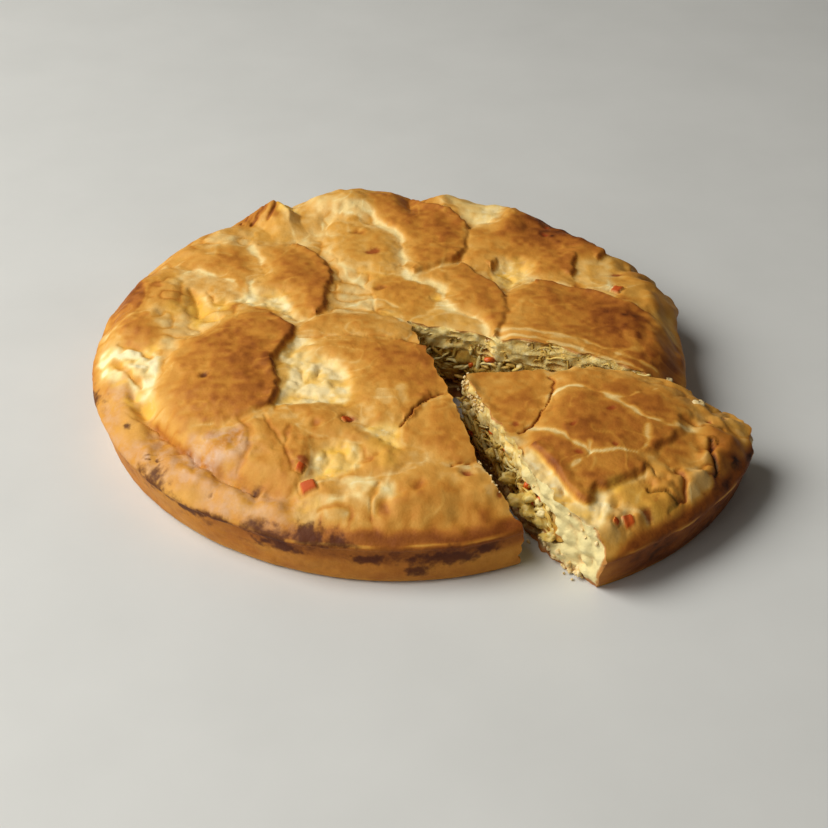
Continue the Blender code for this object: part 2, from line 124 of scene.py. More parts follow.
PIE_PLATES = (
    # Soft batter where the skin tore
    Plate(1.2, 0.10, 0.35, None, (
        (-43, -26), (-42, -19), (-38, -12), (-29, -11), (-24, -25), (-16, -32), (-14, -42), (-15, -54),
        (-27, -57), (-42, -56), (-39, -46), (-38, -36))),
    Plate(2.2, 0.05, 0.0, None, (
        (-116, -12), (-107, -14), (-98, -18), (-91, -22), (-89, -38), (-87, -50), (-91, -56), (-98, -48),
        (-107, -36), (-115, -22))),
    Plate(2.2, 0.26, 0.15, None, (
        (-64, 14), (-59, 24), (-50, 24), (-43, 21), (-40, 13), (-35, -1), (-41, 1), (-47, 7), (-54, 12))),
    Plate(0.5, 0.40, 1.0, None, ((-84, 25), (-79, 21), (-76, 7), (-77, -2), (-81, 7))),
    Plate(0.3, 0.16, 1.0, None, ((46, 50), (53, 51), (60, 55), (60, 43), (53, 33), (48, 28), (44, 37))),
    Plate(1.0, 0.18, 0.9, None, ((-4, -68), (3, -67), (7, -73), (5, -79), (-3, -77), (-9, -72))),
    Plate(1.0, 0.20, 0.7, None, ((-25, -86), (-19, -80), (-12, -78), (-9, -87), (-15, -93), (-25, -93))),
    Plate(1.6, 0.28, 0.1, None, ((-31, -102), (-24, -101), (-22, -109), (-31, -112))),
    Plate(2.6, 0.38, 0.1, None, ((-44, 65), (-51, 86), (-46, 115), (-36, 117), (-31, 72))),
    Plate(2.8, 0.32, 0.3, None, ((17, 118), (36, 114), (48, 108), (46, 84), (36, 80), (29, 92))),
    Plate(3.4, 0.70, 0.0, None, (
        (-72, 82), (-64, 76), (-55, 77), (-50, 86), (-51, 100), (-60, 106), (-70, 98))),
    Plate(2.4, 0.28, 1.0, None, ((-52, 86), (-47, 84), (-44, 90), (-47, 98), (-52, 96))),
    # The lower plates towards the rim
    Plate(2.6, 0.78, 0.0, None, ((-113, 44), (-104, 38), (-101, 15), (-104, 5), (-113, 2), (-117, 24))),
    Plate(3.0, 0.50, 0.2, None, ((-63, 66), (-61, 80), (-52, 80), (-44, 72), (-44, 66), (-54, 64))),
    Plate(3.0, 0.42, 0.2, None, ((78, 50), (85, 54), (92, 52), (92, 35), (88, 29), (80, 29), (75, 36))),
    Plate(3.0, 0.58, 0.1, None, (
        (91, 78), (99, 72), (105, 60), (113, 42), (118, 26), (119, 6), (110, 2), (97, 16), (93, 34),
        (93, 54))),
    Plate(3.2, 0.66, 0.0, None, (
        (-112, 0), (-104, 6), (-97, 7), (-92, -4), (-91, -11), (-95, -16), (-104, -13))),
    Plate(3.0, 0.36, 0.0, None, (
        (-91, 36), (-85, 41), (-79, 39), (-67, 32), (-59, 18), (-64, 13), (-73, 13), (-82, 24))),
    Plate(4.0, 0.58, 0.0, None, (
        (-93, 43), (-87, 53), (-77, 59), (-63, 62), (-57, 50), (-53, 37), (-57, 30), (-58, 19), (-67, 31),
        (-79, 38))),
    Plate(5.0, 0.60, 0.0, 0, (
        (-62, 61), (-53, 63), (-43, 62), (-36, 57), (-30, 49), (-26, 39), (-25, 28), (-26, 15), (-28, 5),
        (-33, 2), (-41, 16), (-47, 22), (-57, 23), (-54, 34))),
    # The plates across the back and the middle
    Plate(6.2, 0.36, 0.1, None, (
        (-38, 93), (-34, 106), (-22, 115), (-6, 118), (5, 114), (10, 103), (2, 94), (-8, 86), (-24, 87))),
    Plate(5.0, 0.48, 0.1, None, (
        (-29, 79), (-18, 86), (-8, 81), (-1, 71), (4, 61), (5, 48), (4, 38), (-4, 35), (-15, 40),
        (-25, 47))),
    Plate(6.0, 0.66, 0.0, -8, (
        (-14, 100), (2, 116), (14, 98), (25, 89), (33, 79), (33, 66), (29, 50), (18, 42), (8, 34), (5, 38),
        (6, 49), (4, 62), (-1, 71), (-8, 82))),
    Plate(3.5, 0.62, 0.1, None, (
        (-8, 28), (0, 36), (8, 33), (18, 28), (21, 19), (17, 6), (9, -1), (1, 7), (-5, 16))),
    Plate(5.2, 0.68, 0.0, 12, (
        (30, 72), (36, 77), (44, 79), (50, 88), (56, 107), (68, 106), (79, 98), (89, 84), (89, 52),
        (79, 48), (76, 37), (61, 36), (56, 47), (46, 46), (40, 41), (31, 47))),
    Plate(5.0, 0.60, 0.0, 0, (
        (10, 34), (18, 43), (29, 45), (37, 36), (45, 25), (48, 14), (48, 5), (45, -7), (41, -15), (37, -6),
        (33, 2), (23, 9), (24, 18), (20, 26))),
    Plate(3.2, 0.44, 0.2, None, ((16, 8), (24, 9), (32, 5), (37, -4), (38, -13), (24, -8), (8, -3))),
    Plate(5.8, 0.68, 0.0, 30, (
        (47, 4), (48, 19), (53, 26), (60, 32), (71, 28), (83, 24), (92, 18), (102, 11), (112, 4),
        (122, -8), (122, -40), (94, -42), (70, -34), (44, -24), (44, -8))),
    Plate(4.5, 0.53, 0.0, None, (
        (-36, -11), (-36, -3), (-28, 3), (-14, 7), (0, 3), (9, -4), (6, -14), (-12, -15), (-26, -15))),
    Plate(4.6, 0.62, 0.0, 15, (
        (-34, -20), (-24, -12), (-8, -13), (8, -14), (24, -30), (30, -54), (22, -52), (15, -56), (8, -68),
        (-5, -67), (-11, -58), (-14, -46), (-15, -35), (-23, -27))),
    Plate(5.5, 0.68, 0.0, -8, (
        (-75, -9), (-70, -2), (-61, 4), (-52, 6), (-44, 1), (-37, -7), (-38, -14), (-42, -24), (-45, -32),
        (-41, -43), (-42, -53), (-47, -61), (-62, -67), (-77, -67), (-86, -54), (-89, -41), (-86, -24),
        (-82, -11))),
    # The plates along the front
    Plate(4.0, 0.54, 0.0, None, (
        (-38, -61), (-32, -57), (-18, -57), (-13, -65), (-4, -76), (-7, -81), (-20, -76), (-32, -71))),
    Plate(4.6, 0.60, 0.0, None, (
        (-76, -68), (-62, -66), (-46, -61), (-38, -60), (-33, -69), (-27, -78), (-26, -86), (-30, -97),
        (-36, -101), (-47, -95), (-60, -87), (-69, -79))),
    Plate(4.0, 0.60, 0.0, None, (
        (22, -53), (30, -62), (37, -80), (33, -86), (23, -88), (13, -84), (5, -78), (7, -70), (13, -59))),
    Plate(3.6, 0.49, 0.0, None, (
        (-12, -96), (-2, -94), (6, -88), (15, -85), (24, -89), (34, -89), (42, -98), (54, -112), (50, -124),
        (20, -126), (-8, -124), (-14, -110))),
    Plate(3.0, 0.54, 0.0, None, ((-31, -98), (-22, -95), (-13, -95), (-12, -99), (-19, -103), (-31, -102))),
    # Pale knobs at the front edge
    Plate(3.6, 0.32, 0.1, None, ((-13, -98), (-6, -97), (2, -98), (4, -104), (-2, -110), (-9, -107))),
    Plate(3.2, 0.34, 0.1, None, ((-22, -105), (-16, -104), (-14, -110), (-20, -112))),
)

SLICE_PLATES = (
    Plate(1.8, 0.12, 0.5, None, (
        (46, -88), (54, -100), (60, -110), (66, -118), (74, -117), (77, -110), (77, -102),
        (72, -99), (58, -86))),
    Plate(2.2, 0.44, 0.4, None, ((77, -97), (86, -95), (90, -100), (88, -107), (79, -106))),
    Plate(2.4, 0.50, 0.5, None, ((90, -97), (99, -99), (104, -108), (96, -112), (88, -108))),
    Plate(2.6, 0.66, 0.0, None, (
        (30, -36), (42, -33), (60, -33), (62, -41), (59, -56), (54, -68), (48, -73), (43, -72), (38, -62))),
    Plate(3.0, 0.64, 0.0, None, (
        (97, -64), (108, -62), (113, -67), (116, -74), (111, -84), (103, -89), (96, -85), (93, -76))),
    Plate(5.2, 0.68, 0.0, -100, (
        (63, -43), (66, -36), (76, -33), (88, -35), (100, -40), (108, -46), (113, -56), (109, -67),
        (97, -80), (92, -92), (82, -97), (75, -101), (71, -106), (67, -107), (63, -100), (57, -91),
        (51, -81), (53, -72), (59, -62), (61, -53))),
)

# Browner places on the skin (paler where the last number is under 0), partly the skin's own tone and partly
# painted shade and painted light that even out how lit each place looks: place, half widths, amount
SKIN_TONE_AND_PAINTED_LIGHT = (
    (-72, -36, 14, 20, -0.07), (-48, -44, 9, 17, 0.05), (-84, 20, 14, 10, 0.08), (40, 95, 10, 14, -0.10),
    (42, 60, 10, 12, -0.08), (70, 80, 18, 26, 0.12), (104, -12, 14, 22, 0.10), (88, 6, 12, 14, 0.06),
    (-10, -8, 18, 8, -0.05), (0, 25, 12, 12, 0.05), (-106, 30, 10, 18, 0.10), (46, -46, 12, 10, -0.10),
    (80, -88, 16, 8, -0.12), (66, -102, 8, 8, -0.08), (90, -60, 20, 14, 0.05), (-30, 36, 8, 14, 0.04),
    (-58, 48, 14, 10, 0.05), (122, -70, 10, 16, 0.10), (-92, 22, 14, 12, 0.06), (102, 52, 8, 20, 0.08),
    (92, -5, 15, 18, 0.06), (98, -101, 10, 7, 0.30), (126, -84, 9, 12, 0.30), (127, -70, 7, 10, 0.25),
    (-76, 8, 10, 9, 0.11), (-110, -28, 10, 22, 0.06), (114, 12, 8, 14, -0.14), (-52, -6, 9, 8, -0.10),
    (90, -53, 13, 9, 0.10), (107, -7, 7, 13, -0.20), (-46, -19, 6, 9, -0.09), (-17, -112, 9, 5, 0.10),
    (-30, 104, 9, 8, 0.06),
)

# A line on the top: how wide and deep it is (a depth under 0 stands up), the brownness that it
# turns to, how fully, and its points
Line = namedtuple("Line", "wide deep brown full points")

PIE_LINES = (
    Line(1.0, 0.7, 0.10, 0.9, ((-62, 60), (-57, 50), (-56, 42), (-53, 37), (-57, 30), (-58, 17), (-62, 11))),
    Line(0.6, 0.3, 0.12, 0.8, ((-92, 35), (-85, 41), (-79, 38), (-71, 34), (-66, 31))),
    Line(1.1, 0.7, 0.12, 0.9, (
        (-24, 87), (-15, 91), (-8, 82), (-1, 72), (4, 63), (5, 49), (5, 38), (7, 32), (14, 28), (21, 23),
        (22, 11), (28, 6), (34, 1), (38, -7), (38, -14))),
    Line(1.0, 0.7, 0.12, 0.9, ((-13, 29), (-8, 21), (-6, 9), (0, 4), (4, -1))),
    Line(0.7, 0.4, 0.15, 0.8, ((-6, 17), (-2, 15), (3, 11))),
    Line(0.8, 0.4, 0.18, 0.7, ((47, 24), (53, 28), (60, 34), (72, 30), (84, 25), (96, 14))),
    Line(0.9, 0.3, 0.34, 0.6, ((60, -14), (72, -18), (76, -25), (82, -27), (90, -21), (96, -20))),
    Line(0.9, 0.3, 0.40, 0.5, ((80, -7), (86, -5), (92, -7), (94, -14), (98, -18))),
    Line(0.7, 0.3, 0.20, 0.8, ((43, -8), (60, -12), (76, -17), (92, -24), (104, -28))),
    Line(0.8, 0.4, 0.16, 0.8, ((43, -12), (58, -17), (70, -21), (86, -27), (98, -31))),
    Line(0.9, 0.3, 0.55, 0.6, ((43, -10), (58, -15), (72, -19), (88, -26))),
    Line(0.8, 0.6, 0.20, 0.7, ((9, -92), (-2, -94), (-12, -96), (-20, -95))),
    Line(0.9, 0.5, 0.18, 0.8, ((-40, 64), (-32, 60), (-24, 50), (-22, 44), (-12, 38))),
    Line(0.8, 0.4, 0.20, 0.7, ((33, 79), (40, 81), (46, 80))),
    Line(0.45, 1.2, 0.97, 0.9, ((23, -50), (17, -54), (12, -59), (9, -64), (6, -70))),
    Line(0.5, 1.0, 0.90, 0.8, ((36, -84), (33, -86), (28, -87), (24, -89))),
    Line(0.6, 0.5, 0.66, 0.5, ((-36, -12), (-24, -13), (-10, -12), (2, -13))),
    Line(1.6, 0.3, 0.20, 0.6, ((-4, -46), (-1, -57), (2, -66))),
    Line(1.4, 0.3, 0.22, 0.6, ((4, -49), (7, -57))),
    # The dark line in the crease inside the left front rim, a painted shade in the groove
    Line(1.5, 1.5, 0.84, 0.90, (
        (-113, -40), (-106, -47), (-94, -55), (-85, -62), (-78, -70), (-71, -78), (-57, -90), (-46, -97))),
    # Creases between the torn lumps at the left, darkened with painted shade
    Line(1.8, 1.2, 0.60, 0.7, ((-108, -12), (-101, -15), (-94, -22))),
    Line(1.6, 1.3, 0.56, 0.7, ((-109, -22), (-102, -29), (-95, -38))),
    Line(1.6, 0.8, 0.62, 0.6, ((-84, 26), (-80, 18), (-77, 8))),
    Line(1.6, 0.8, 0.64, 0.6, ((-76, 24), (-72, 16), (-67, 14))),
    # Stripes of the curled tuft at the back left
    Line(1.0, 0.9, 0.94, 0.9, ((-68, 82), (-66, 90), (-64, 99))),
    Line(1.0, -0.5, 0.40, 0.7, ((-65, 79), (-63, 88), (-61, 98))),
    Line(1.0, 0.9, 0.92, 0.9, ((-62, 79), (-60, 88), (-58, 99))),
    Line(1.0, -0.5, 0.36, 0.7, ((-59, 80), (-57, 88), (-55, 98))),
    Line(1.0, 0.9, 0.90, 0.8, ((-56, 81), (-54, 89), (-52, 98))),
    # Wrinkles of the glossy plate at the left front
    Line(1.8, -0.6, 0.44, 0.4, ((-50, -79), (-49, -86), (-46, -92), (-42, -98))),
    Line(1.7, -0.6, 0.40, 0.4, ((-49, -63), (-48, -70), (-45, -76), (-41, -84), (-38, -93))),
    Line(1.6, -0.5, 0.40, 0.4, ((-57, -66), (-52, -71), (-53, -78), (-57, -84))),
    Line(1.4, 0.5, 0.72, 0.4, ((-53, -66), (-50, -72), (-50, -80), (-53, -88))),
    Line(1.4, 0.6, 0.76, 0.5, ((-36, -72), (-36, -82), (-34, -92))),
    Line(1.2, 0.5, 0.76, 0.4, ((-44, -64), (-41, -72), (-37, -78))),
    # Streaks by the front rim
    Line(1.2, 0.5, 0.80, 0.6, ((-24, -108), (-18, -107), (-13, -109), (-12, -116))),
    Line(1.2, 0.6, 0.78, 0.5, ((-3, -98), (-5, -106), (-4, -114))),
)

SLICE_LINES = (
    Line(0.8, 0.5, 0.12, 0.9, (
        (60, -56), (62, -50), (70, -47), (77, -50), (84, -55), (89, -59), (93, -64))),
    Line(0.6, 0.3, 0.15, 0.8, ((82, -54), (91, -52), (100, -46))),
    Line(0.8, 0.5, 0.14, 0.9, ((93, -64), (101, -67), (112, -67))),
    Line(0.8, 0.5, 0.12, 0.9, ((53, -69), (60, -74), (64, -78), (68, -82), (72, -86))),
    Line(0.6, 0.3, 0.16, 0.8, ((64, -94), (69, -90), (72, -86), (79, -84), (91, -82))),
    Line(0.6, 0.3, 0.18, 0.8, ((95, -65), (94, -77), (90, -83))),
    Line(0.5, 0.2, 0.20, 0.7, ((72, -86), (72, -80))),
    Line(0.5, 1.2, 0.97, 0.9, ((62, -37), (61, -48), (59, -57), (55, -66), (48, -73))),
    # Creases between the knobs of the outer rim, darkened with painted shade
    Line(1.2, 2.0, 0.94, 0.95, ((92, -99), (96, -100), (102, -101.5))),
    Line(1.4, 2.0, 0.92, 0.90, ((118, -71), (119, -79), (119, -88), (116, -97), (111, -105))),
    Line(1.0, 1.4, 0.84, 0.80, ((104, -88), (106, -94), (103, -101), (99, -107))),
    Line(0.9, 0.8, 0.72, 0.60, ((92, -110), (95, -114), (102, -116))),
    Line(1.0, 1.0, 0.74, 0.60, ((110, -62), (116, -64), (124, -62))),
    Line(0.7, -0.5, 0.36, 0.7, ((95, -118), (103, -112), (109, -107))),
)

# Small pits on the top, or lumps (a depth under 0), by the tint that they take: place, width, depth
PIE_DIMPLES = {
    "brown": ((11, -99, 2.4, 0.9), (0, -107, 2.4, 1.0), (35, -108, 2.6, 1.2), (-26, -69, 1.8, 0.8),
        (-5, 25, 1.8, 0.6), (-15, 70, 2.2, 0.7), (-88, -60, 2.0, 0.6)),
    "red": ((29, -92, 1.8, 0.8), (40, -100, 1.4, 0.4), (-14, -65, 2.4, 0.9), (-9, 53, 3.4, 0.7),
        (67, 77, 1.6, 0.8), (66, 69, 1.6, 0.8), (94, 39, 1.8, 0.4), (-30, -88, 2.4, -0.6)),
    "yellow": ((19, 16, 1.8, 1.0), (112, 4, 3.0, -0.8), (-97, -43, 2.6, 0.4), (-90, -52, 3.0, 0.6),
        (-82, 20, 3.6, 1.2), (-76.5, 10.5, 4.4, 1.6), (-72, 4, 3.6, 1.2), (-69, 13, 3.4, 1.0),
        (-94, -18, 3.0, 1.0), (-92, -50, 3.6, 1.2), (-98, -44, 2.4, 0.8)),
    "burn": ((-45, -96, 2.0, 1.6), (-98, -58, 1.3, 0.8), (-70, -41, 1.6, 0.9)),
}

SLICE_DIMPLES = {
    "brown": ((114, -77, 1.6, 0.8),),
    "red": ((67, -71, 1.5, 0.5), (82, -62, 1.3, 0.4), (82, -81, 1.4, 0.4), (67, -86, 1.6, 0.4),
        (47, -67, 1.6, 0.4), (91, -109, 2.4, 0.4), (111, -105, 1.3, 0.9), (119, -60, 1.3, 0.9),
        (126, -53, 1.4, 0.8)),
    "yellow": ((81, -99, 3.0, -0.4),),
}

# Squares of pepper baked into the top: place, width and turn
PIE_PEPPERS = ((-27.3, -98, 5.0, 20), (-30.5, -91, 2.8, 70), (-15, -66, 3.0, 40), (93.5, 25.6, 4.0, 60))
SLICE_PEPPERS = ((84, -112.5, 3.6, 30), (79.5, -114, 2.2, 60))

# Crumbs lying on the top: place, width and turn
PIE_CRUMBS = ((108, -29, 2.2, 0), (104, -33, 1.4, 40))
SLICE_CRUMBS = ((116, -50, 3.0, 0), (118, -47, 1.6, 40))

# Soft blobs that bulge from the slice's near cut: place of the middle, and size
SOFT_BLOBS = (
    (47.0, -91.0, 15.0, 3.2), (50.5, -95.5, 13.5, 3.4), (55.0, -99.0, 12.0, 3.0), (44.0, -80.0, 16.0, 2.6),
    (58.0, -103.5, 9.0, 2.8), (52.0, -93.0, 18.5, 2.8), (38.5, -66.0, 17.0, 2.2),
)

# Lumps along the slice's outer rim: place, width, rise and brownness
SLICE_LUMPS = (
    (131, -41, 24, -6.5, 0.50), (113, -90, 5.0, 2.6, 0.34), (109.5, -98, 5.0, 2.8, 0.30),
    (105.5, -102, 4.4, 2.4, 0.28), (108, -86, 4.2, 2.0, 0.30), (114.5, -79, 3.6, 1.6, 0.36),
    (124, -55, 6.0, 1.8, 0.40), (118, -53, 4.0, 1.4, 0.50), (131, -53, 4.5, 1.4, 0.44),
    (119, -68, 5.5, 1.2, 0.52), (89, -98, 4.2, 1.6, 0.40), (96.5, -106, 5.5, 1.8, 0.50),
    (89.5, -106, 4.4, 1.6, 0.54), (87.5, -113, 3.6, 1.8, 0.54), (83.5, -118, 4.2, 1.8, 0.46),
    (77, -118, 4.2, 1.8, 0.34), (100, -112, 5.0, 1.2, 0.56), (102, -94, 4.5, 1.6, 0.50),
    (95, -93, 4.0, 1.4, 0.48), (110, -77, 4.5, 0.8, 0.52),
)

# Burnt places on the side: azimuth, height, half their width and half their height
BURNS = (
    (275.6, 6, 1.8, 1.6), (267, 11, 3.0, 1.6), (281, 11, 6.0, 2.6), (287, 12, 3.0, 1.8),
    (225, 17, 3.5, 2.6), (249.5, 16.5, 5.0, 2.2), (257, 18, 3.5, 2.2), (252, 12, 3.5, 2.4),
    (262, 17.5, 3.0, 1.3), (240, 16, 4.0, 1.2), (233, 14, 3.0, 1.4), (197, 17, 3.0, 3.4),
    (158.6, 22, 1.6, 2.0), (191, 12, 3.0, 3.0),
)

# The patches of burnt specks on the rim at the left front: place and width
SPECKS = (
    (-88, -80, 8.0), (-81, -88, 4.5), (-113, -40, 4.5), (-64, -98, 3.5), (-97, -68, 3.5), (-45, -97, 2.5),
)

# The glossy skins at the left front, whose colour also takes a painted milky sheen: place and half widths
SHEENS = ((-62, -79, 17, 11), (-86, -78, 10, 8))

# Each field of the top: its height over the even dome, and the tints that its material blends
FIELDS = ("level", "brown", "yellow", "red", "burn", "gloss_and_painted_sheen", "soft", "pepper")

# A plate paler than this is torn batter. Its edges fade out and in so far, and less at a lip
TORN_BELOW = 0.3
SKIRT_OUT = 4.0
SKIRT_IN = 5.5
LIP_OUT = 0.8
LIP_IN = 1.8
CURVE_REACH = 8.0

# Colours by brownness of the skin, by the crumb's grain and by the filling's tone
SKIN_STOPS = (
    (0.00, (243, 228, 178)), (0.15, (234, 207, 140)), (0.30, (221, 177, 103)), (0.45, (209, 152, 66)),
    (0.60, (195, 130, 46)), (0.75, (170, 102, 32)), (0.90, (128, 66, 16)), (1.00, (52, 19, 3)),
)
CRUMB_STOPS = (
    (0.28, (206, 154, 62)), (0.44, (226, 190, 100)), (0.62, (236, 212, 136)), (0.80, (242, 226, 170)),
)
FILLING_STOPS = (
    (0.0, (120, 66, 18)), (0.25, (176, 122, 36)), (0.5, (206, 164, 68)), (0.75, (220, 190, 98)),
    (1.0, (232, 214, 144)),
)

# The photograph's camera
PHOTO_PIXELS = 828
FOCAL_PIXELS = 1500
ELEVATION = math.radians(36.15)
ROLL = math.radians(0.34)
DISTANCE = 0.6071
LOOK_AT = Vector((0.0097, -0.0182, 0.0))

# Large numbers that scramble the number of a place into a random one
SCRAMBLE_X = 374761393
SCRAMBLE_Y = 668265263
SCRAMBLE_Z = 974711087
SCRAMBLE_SEED = 1274126177

# Directions that help to build strands, and the places round a crumb, as shares of its width
UP = np.array((0.0, 0.0, 1.0))
STRAND_HELPER = np.array((0.31, 0.17, 0.93))
AROUND = 0.35 * np.array(((0.0, 0.0), (1.0, 0.0), (0.0, 1.0), (-1.0, 0.0), (0.0, -1.0)))

# The pie and the slice: the middle of its round, its cut, the side of the cut that the food is on
# (1 inside the outline, -1 outside), how knobby its top is, how brown its wall is (the slice's
# wall much darker, a painted shade of its side turned from the light), the radii between which
# its top fades into the shoulder, and what lies on its top
Part = namedtuple(
    "Part", "centre outline side knobby wall_brown fade lumps plates lines dimples peppers crumbs")
PIE = Part(
    (0.0, 0.0), GAP_OUTLINE, -1.0, 0.4, 0.66, (104.0, 116.0), (),
    PIE_PLATES, PIE_LINES, PIE_DIMPLES, PIE_PEPPERS, PIE_CRUMBS)
SLICE = Part(
    (28.5, -15.0), SLICE_OUTLINE, 1.0, 0.8, 0.94, (110.0, 118.5), SLICE_LUMPS,
    SLICE_PLATES, SLICE_LINES, SLICE_DIMPLES, SLICE_PEPPERS, SLICE_CRUMBS)

# Where the slice's far cut nearly touches the pie, nothing may stand out of the cuts
NARROW_FROM_X = 62.0
NARROW_BEHIND_Y = -48.0


def soft_step(low, high, value):
    """Rises smoothly from 0 at low to 1 at high."""
    share = np.clip((value - low) / (high - low), 0.0, 1.0)
    return share * share * (3.0 - 2.0 * share)


def mix(first, second, share):
    """A blend from the first value to the second."""
    return first + (second - first) * share


def bell(distance, width):
    """1 at no distance, falling smoothly to nothing past the width."""
    return np.exp(-((distance / width) ** 2))


def random_level(total):
    """A random level from -1 to 1 for each whole number, always the same for the same number."""
    key = total & 0xFFFFFFFF
    key = ((key ^ (key >> 13)) * SCRAMBLE_SEED) & 0xFFFFFFFF
    return ((key ^ (key >> 16)) & 0xFFFF) / 32767.5 - 1.0


def waves(x, y, z, wide, high, seed):
    """Smooth random hills and hollows from -1 to 1 in space, so wide and so high."""
    place = np.stack(np.broadcast_arrays(x / wide, y / wide, z / high)).astype(float)
    cell = np.floor(place).astype(np.int64)
    part = place - cell
    part = part * part * (3.0 - 2.0 * part)
    total = np.zeros(place.shape[1:])
    for corner in product((0, 1), repeat=3):
        i, j, k = (cell[axis] + corner[axis] for axis in range(3))
        level = random_level(
            i * SCRAMBLE_X + j * SCRAMBLE_Y + k * SCRAMBLE_Z + seed * SCRAMBLE_SEED)
        for axis in range(3):
            level = level * (part[axis] if corner[axis] else 1.0 - part[axis])
        total = total + level
    return total


def hills(x, y, wide, seed, long=None):
    """Smooth random hills and hollows from -1 to 1 over a plane, so wide, and so long if given."""
    x, y = x / wide, y / (long or wide)
    cell_x, cell_y = np.floor(x).astype(np.int64), np.floor(y).astype(np.int64)
    part_x, part_y = x - cell_x, y - cell_y
    part_x = part_x * part_x * (3.0 - 2.0 * part_x)
    part_y = part_y * part_y * (3.0 - 2.0 * part_y)
    total = np.zeros(np.shape(x))
    for i, j in product((0, 1), repeat=2):
        level = random_level(
            (cell_x + i) * SCRAMBLE_X + (cell_y + j) * SCRAMBLE_Y + seed * SCRAMBLE_SEED)
        total += level * (part_x if i else 1.0 - part_x) * (part_y if j else 1.0 - part_y)
    return total


def smooth_line(points, closed, step):
    """A smooth curve through a few points, as close points along it."""
    points = np.array(points, float)
    if closed:
        ring = np.vstack([points[-1:], points, points[:2]])
    else:
        ring = np.vstack([2 * points[0] - points[1], points, 2 * points[-1] - points[-2]])
    curve = []
    for before, start, end, after in zip(ring, ring[1:], ring[2:], ring[3:]):
        pieces = max(1, round(float(np.hypot(*(end - start))) / step))
        share = (np.arange(pieces) / pieces)[:, None]
        curve.append(
            start + 0.5 * share * (end - before)
            + 0.5 * share ** 2 * (2 * before - 5 * start + 4 * end - after)
            + 0.5 * share ** 3 * (3 * start - before - 3 * end + after)
        )
    if not closed:
        curve.append(points[-1:])
    return np.vstack(curve)


def beside(curve, closed, x, y):
    """Each place's distance to a curve, the direction away from it, and whether it is inside."""
    ends = np.roll(curve, -1, axis=0) if closed else curve[1:]
    nearest = np.full(x.shape, 1e9)
    away_x, away_y = np.zeros(x.shape), np.zeros(x.shape)
    inside = np.zeros(x.shape, bool)
    for (ax, ay), (bx, by) in zip(curve, ends):
        dx, dy = bx - ax, by - ay
        share = np.clip(((x - ax) * dx + (y - ay) * dy) / max(dx * dx + dy * dy, 1e-9), 0.0, 1.0)
        px, py = x - ax - share * dx, y - ay - share * dy
        square = px * px + py * py
        closer = square < nearest
        nearest[closer], away_x[closer], away_y[closer] = square[closer], px[closer], py[closer]
        if closed and ay != by:
            inside ^= ((ay > y) != (by > y)) & (x < ax + (y - ay) * dx / dy)
    return np.sqrt(nearest), away_x, away_y, inside


def close_to(curve, reach, x, y):
    """The indices of the places within reach of a curve's own box."""
    low, high = curve.min(axis=0) - reach, curve.max(axis=0) + reach
    return np.nonzero((x > low[0]) & (x < high[0]) & (y > low[1]) & (y < high[1]))[0]


def bare_top(x, y, knobby):
    """The top before its plates: low lumps, brown where they stand up, and knobs on them, with painted shade
    in their creases.
    """
    lumps = hills(x, y, 15, 41) + 0.5 * hills(x, y, 7, 42)
    knobs = np.abs(hills(x, y, 6.5, 47) + 0.2 * hills(x, y, 3.0, 69))
    crease_dip_and_shade = soft_step(0.16, 0.0, knobs)
    fields = {name: np.zeros(np.shape(x)) for name in FIELDS}
    fields["level"] += 2.0 + 0.9 * lumps + knobby * (2.0 * knobs - 0.4 * crease_dip_and_shade)
    # Painted shade: the creases between the knobs are darkened
    fields["brown"] += 0.46 + 0.15 * lumps + 0.16 * crease_dip_and_shade - 0.16 * knobs
    fields["yellow"] += (0.7 - 0.7 * knobby) * soft_step(0.1, 0.8, hills(x, y, 11, 43))
    fields["soft"] += 0.25
    return fields


def lay_plate(fields, plate, x, y, grain):
    """Covers part of the top with one plate of skin, over what lies there already."""
    curve = smooth_line(plate.outline, True, CURVE_STEP)
    near = close_to(curve, CURVE_REACH, x, y)
    if len(near) == 0:
        return
    distance, away_x, away_y, inside = beside(curve, True, x[near], y[near])
    depth = np.where(inside, distance, -distance)
    broad, middle, fine = (grain[name][near] for name in ("broad", "middle", "fine"))
    torn = plate.brown < TORN_BELOW
    lip, lean = np.zeros(len(near)), 0.0
    if plate.lip is not None:
        sign = np.where(inside, -1.0, 1.0) / np.maximum(distance, 1e-6)
        toward = math.radians(plate.lip)
        facing = sign * (away_x * math.cos(toward) + away_y * math.sin(toward))
        lip = soft_step(0.1, 0.6, facing)
        middle_x, middle_y = curve.mean(axis=0)
        beyond = (x[near] - middle_x) * math.cos(toward) + (y[near] - middle_y) * math.sin(toward)
        lean = 0.07 * np.clip(beyond / 18.0, -1.0, 1.0)
    cover = soft_step(-mix(SKIRT_OUT, LIP_OUT, lip), mix(SKIRT_IN, LIP_IN, lip), depth)
    crown = plate.rise * (0.82 + 0.18 * soft_step(0.0, 14.0, depth)) + 0.5 * lip * bell(depth - 2.0, 2.5)
    level = fields["level"]
    level[near] = mix(level[near], crown + 0.6 * broad + 0.3 * middle, cover)
    fade = 1.8 if torn else mix(2.2 if plate.lip is None else 6.0, 0.7, lip)
    painted = soft_step(-fade, fade, depth + 1.2 * (1.0 - lip) * middle)
    bowl = soft_step(0.0, 12.0, depth)
    brown = plate.brown + lean + 0.12 * (bowl - 0.7) + 0.06 * broad + 0.05 * middle + 0.04 * fine
    brown = brown + 0.20 * lip * np.exp(-np.maximum(depth, 0.0) / 3.4)
    if plate.lip is None and not torn:
        brown = brown - 0.24 * (bell(depth - 0.2, 0.7) * soft_step(-0.3, 0.5, broad + middle))
    for name, value in (("brown", brown), ("yellow", plate.yellow), ("soft", 1.0 if torn else 0.0)):
        fields[name][near] = mix(fields[name][near], value, painted)


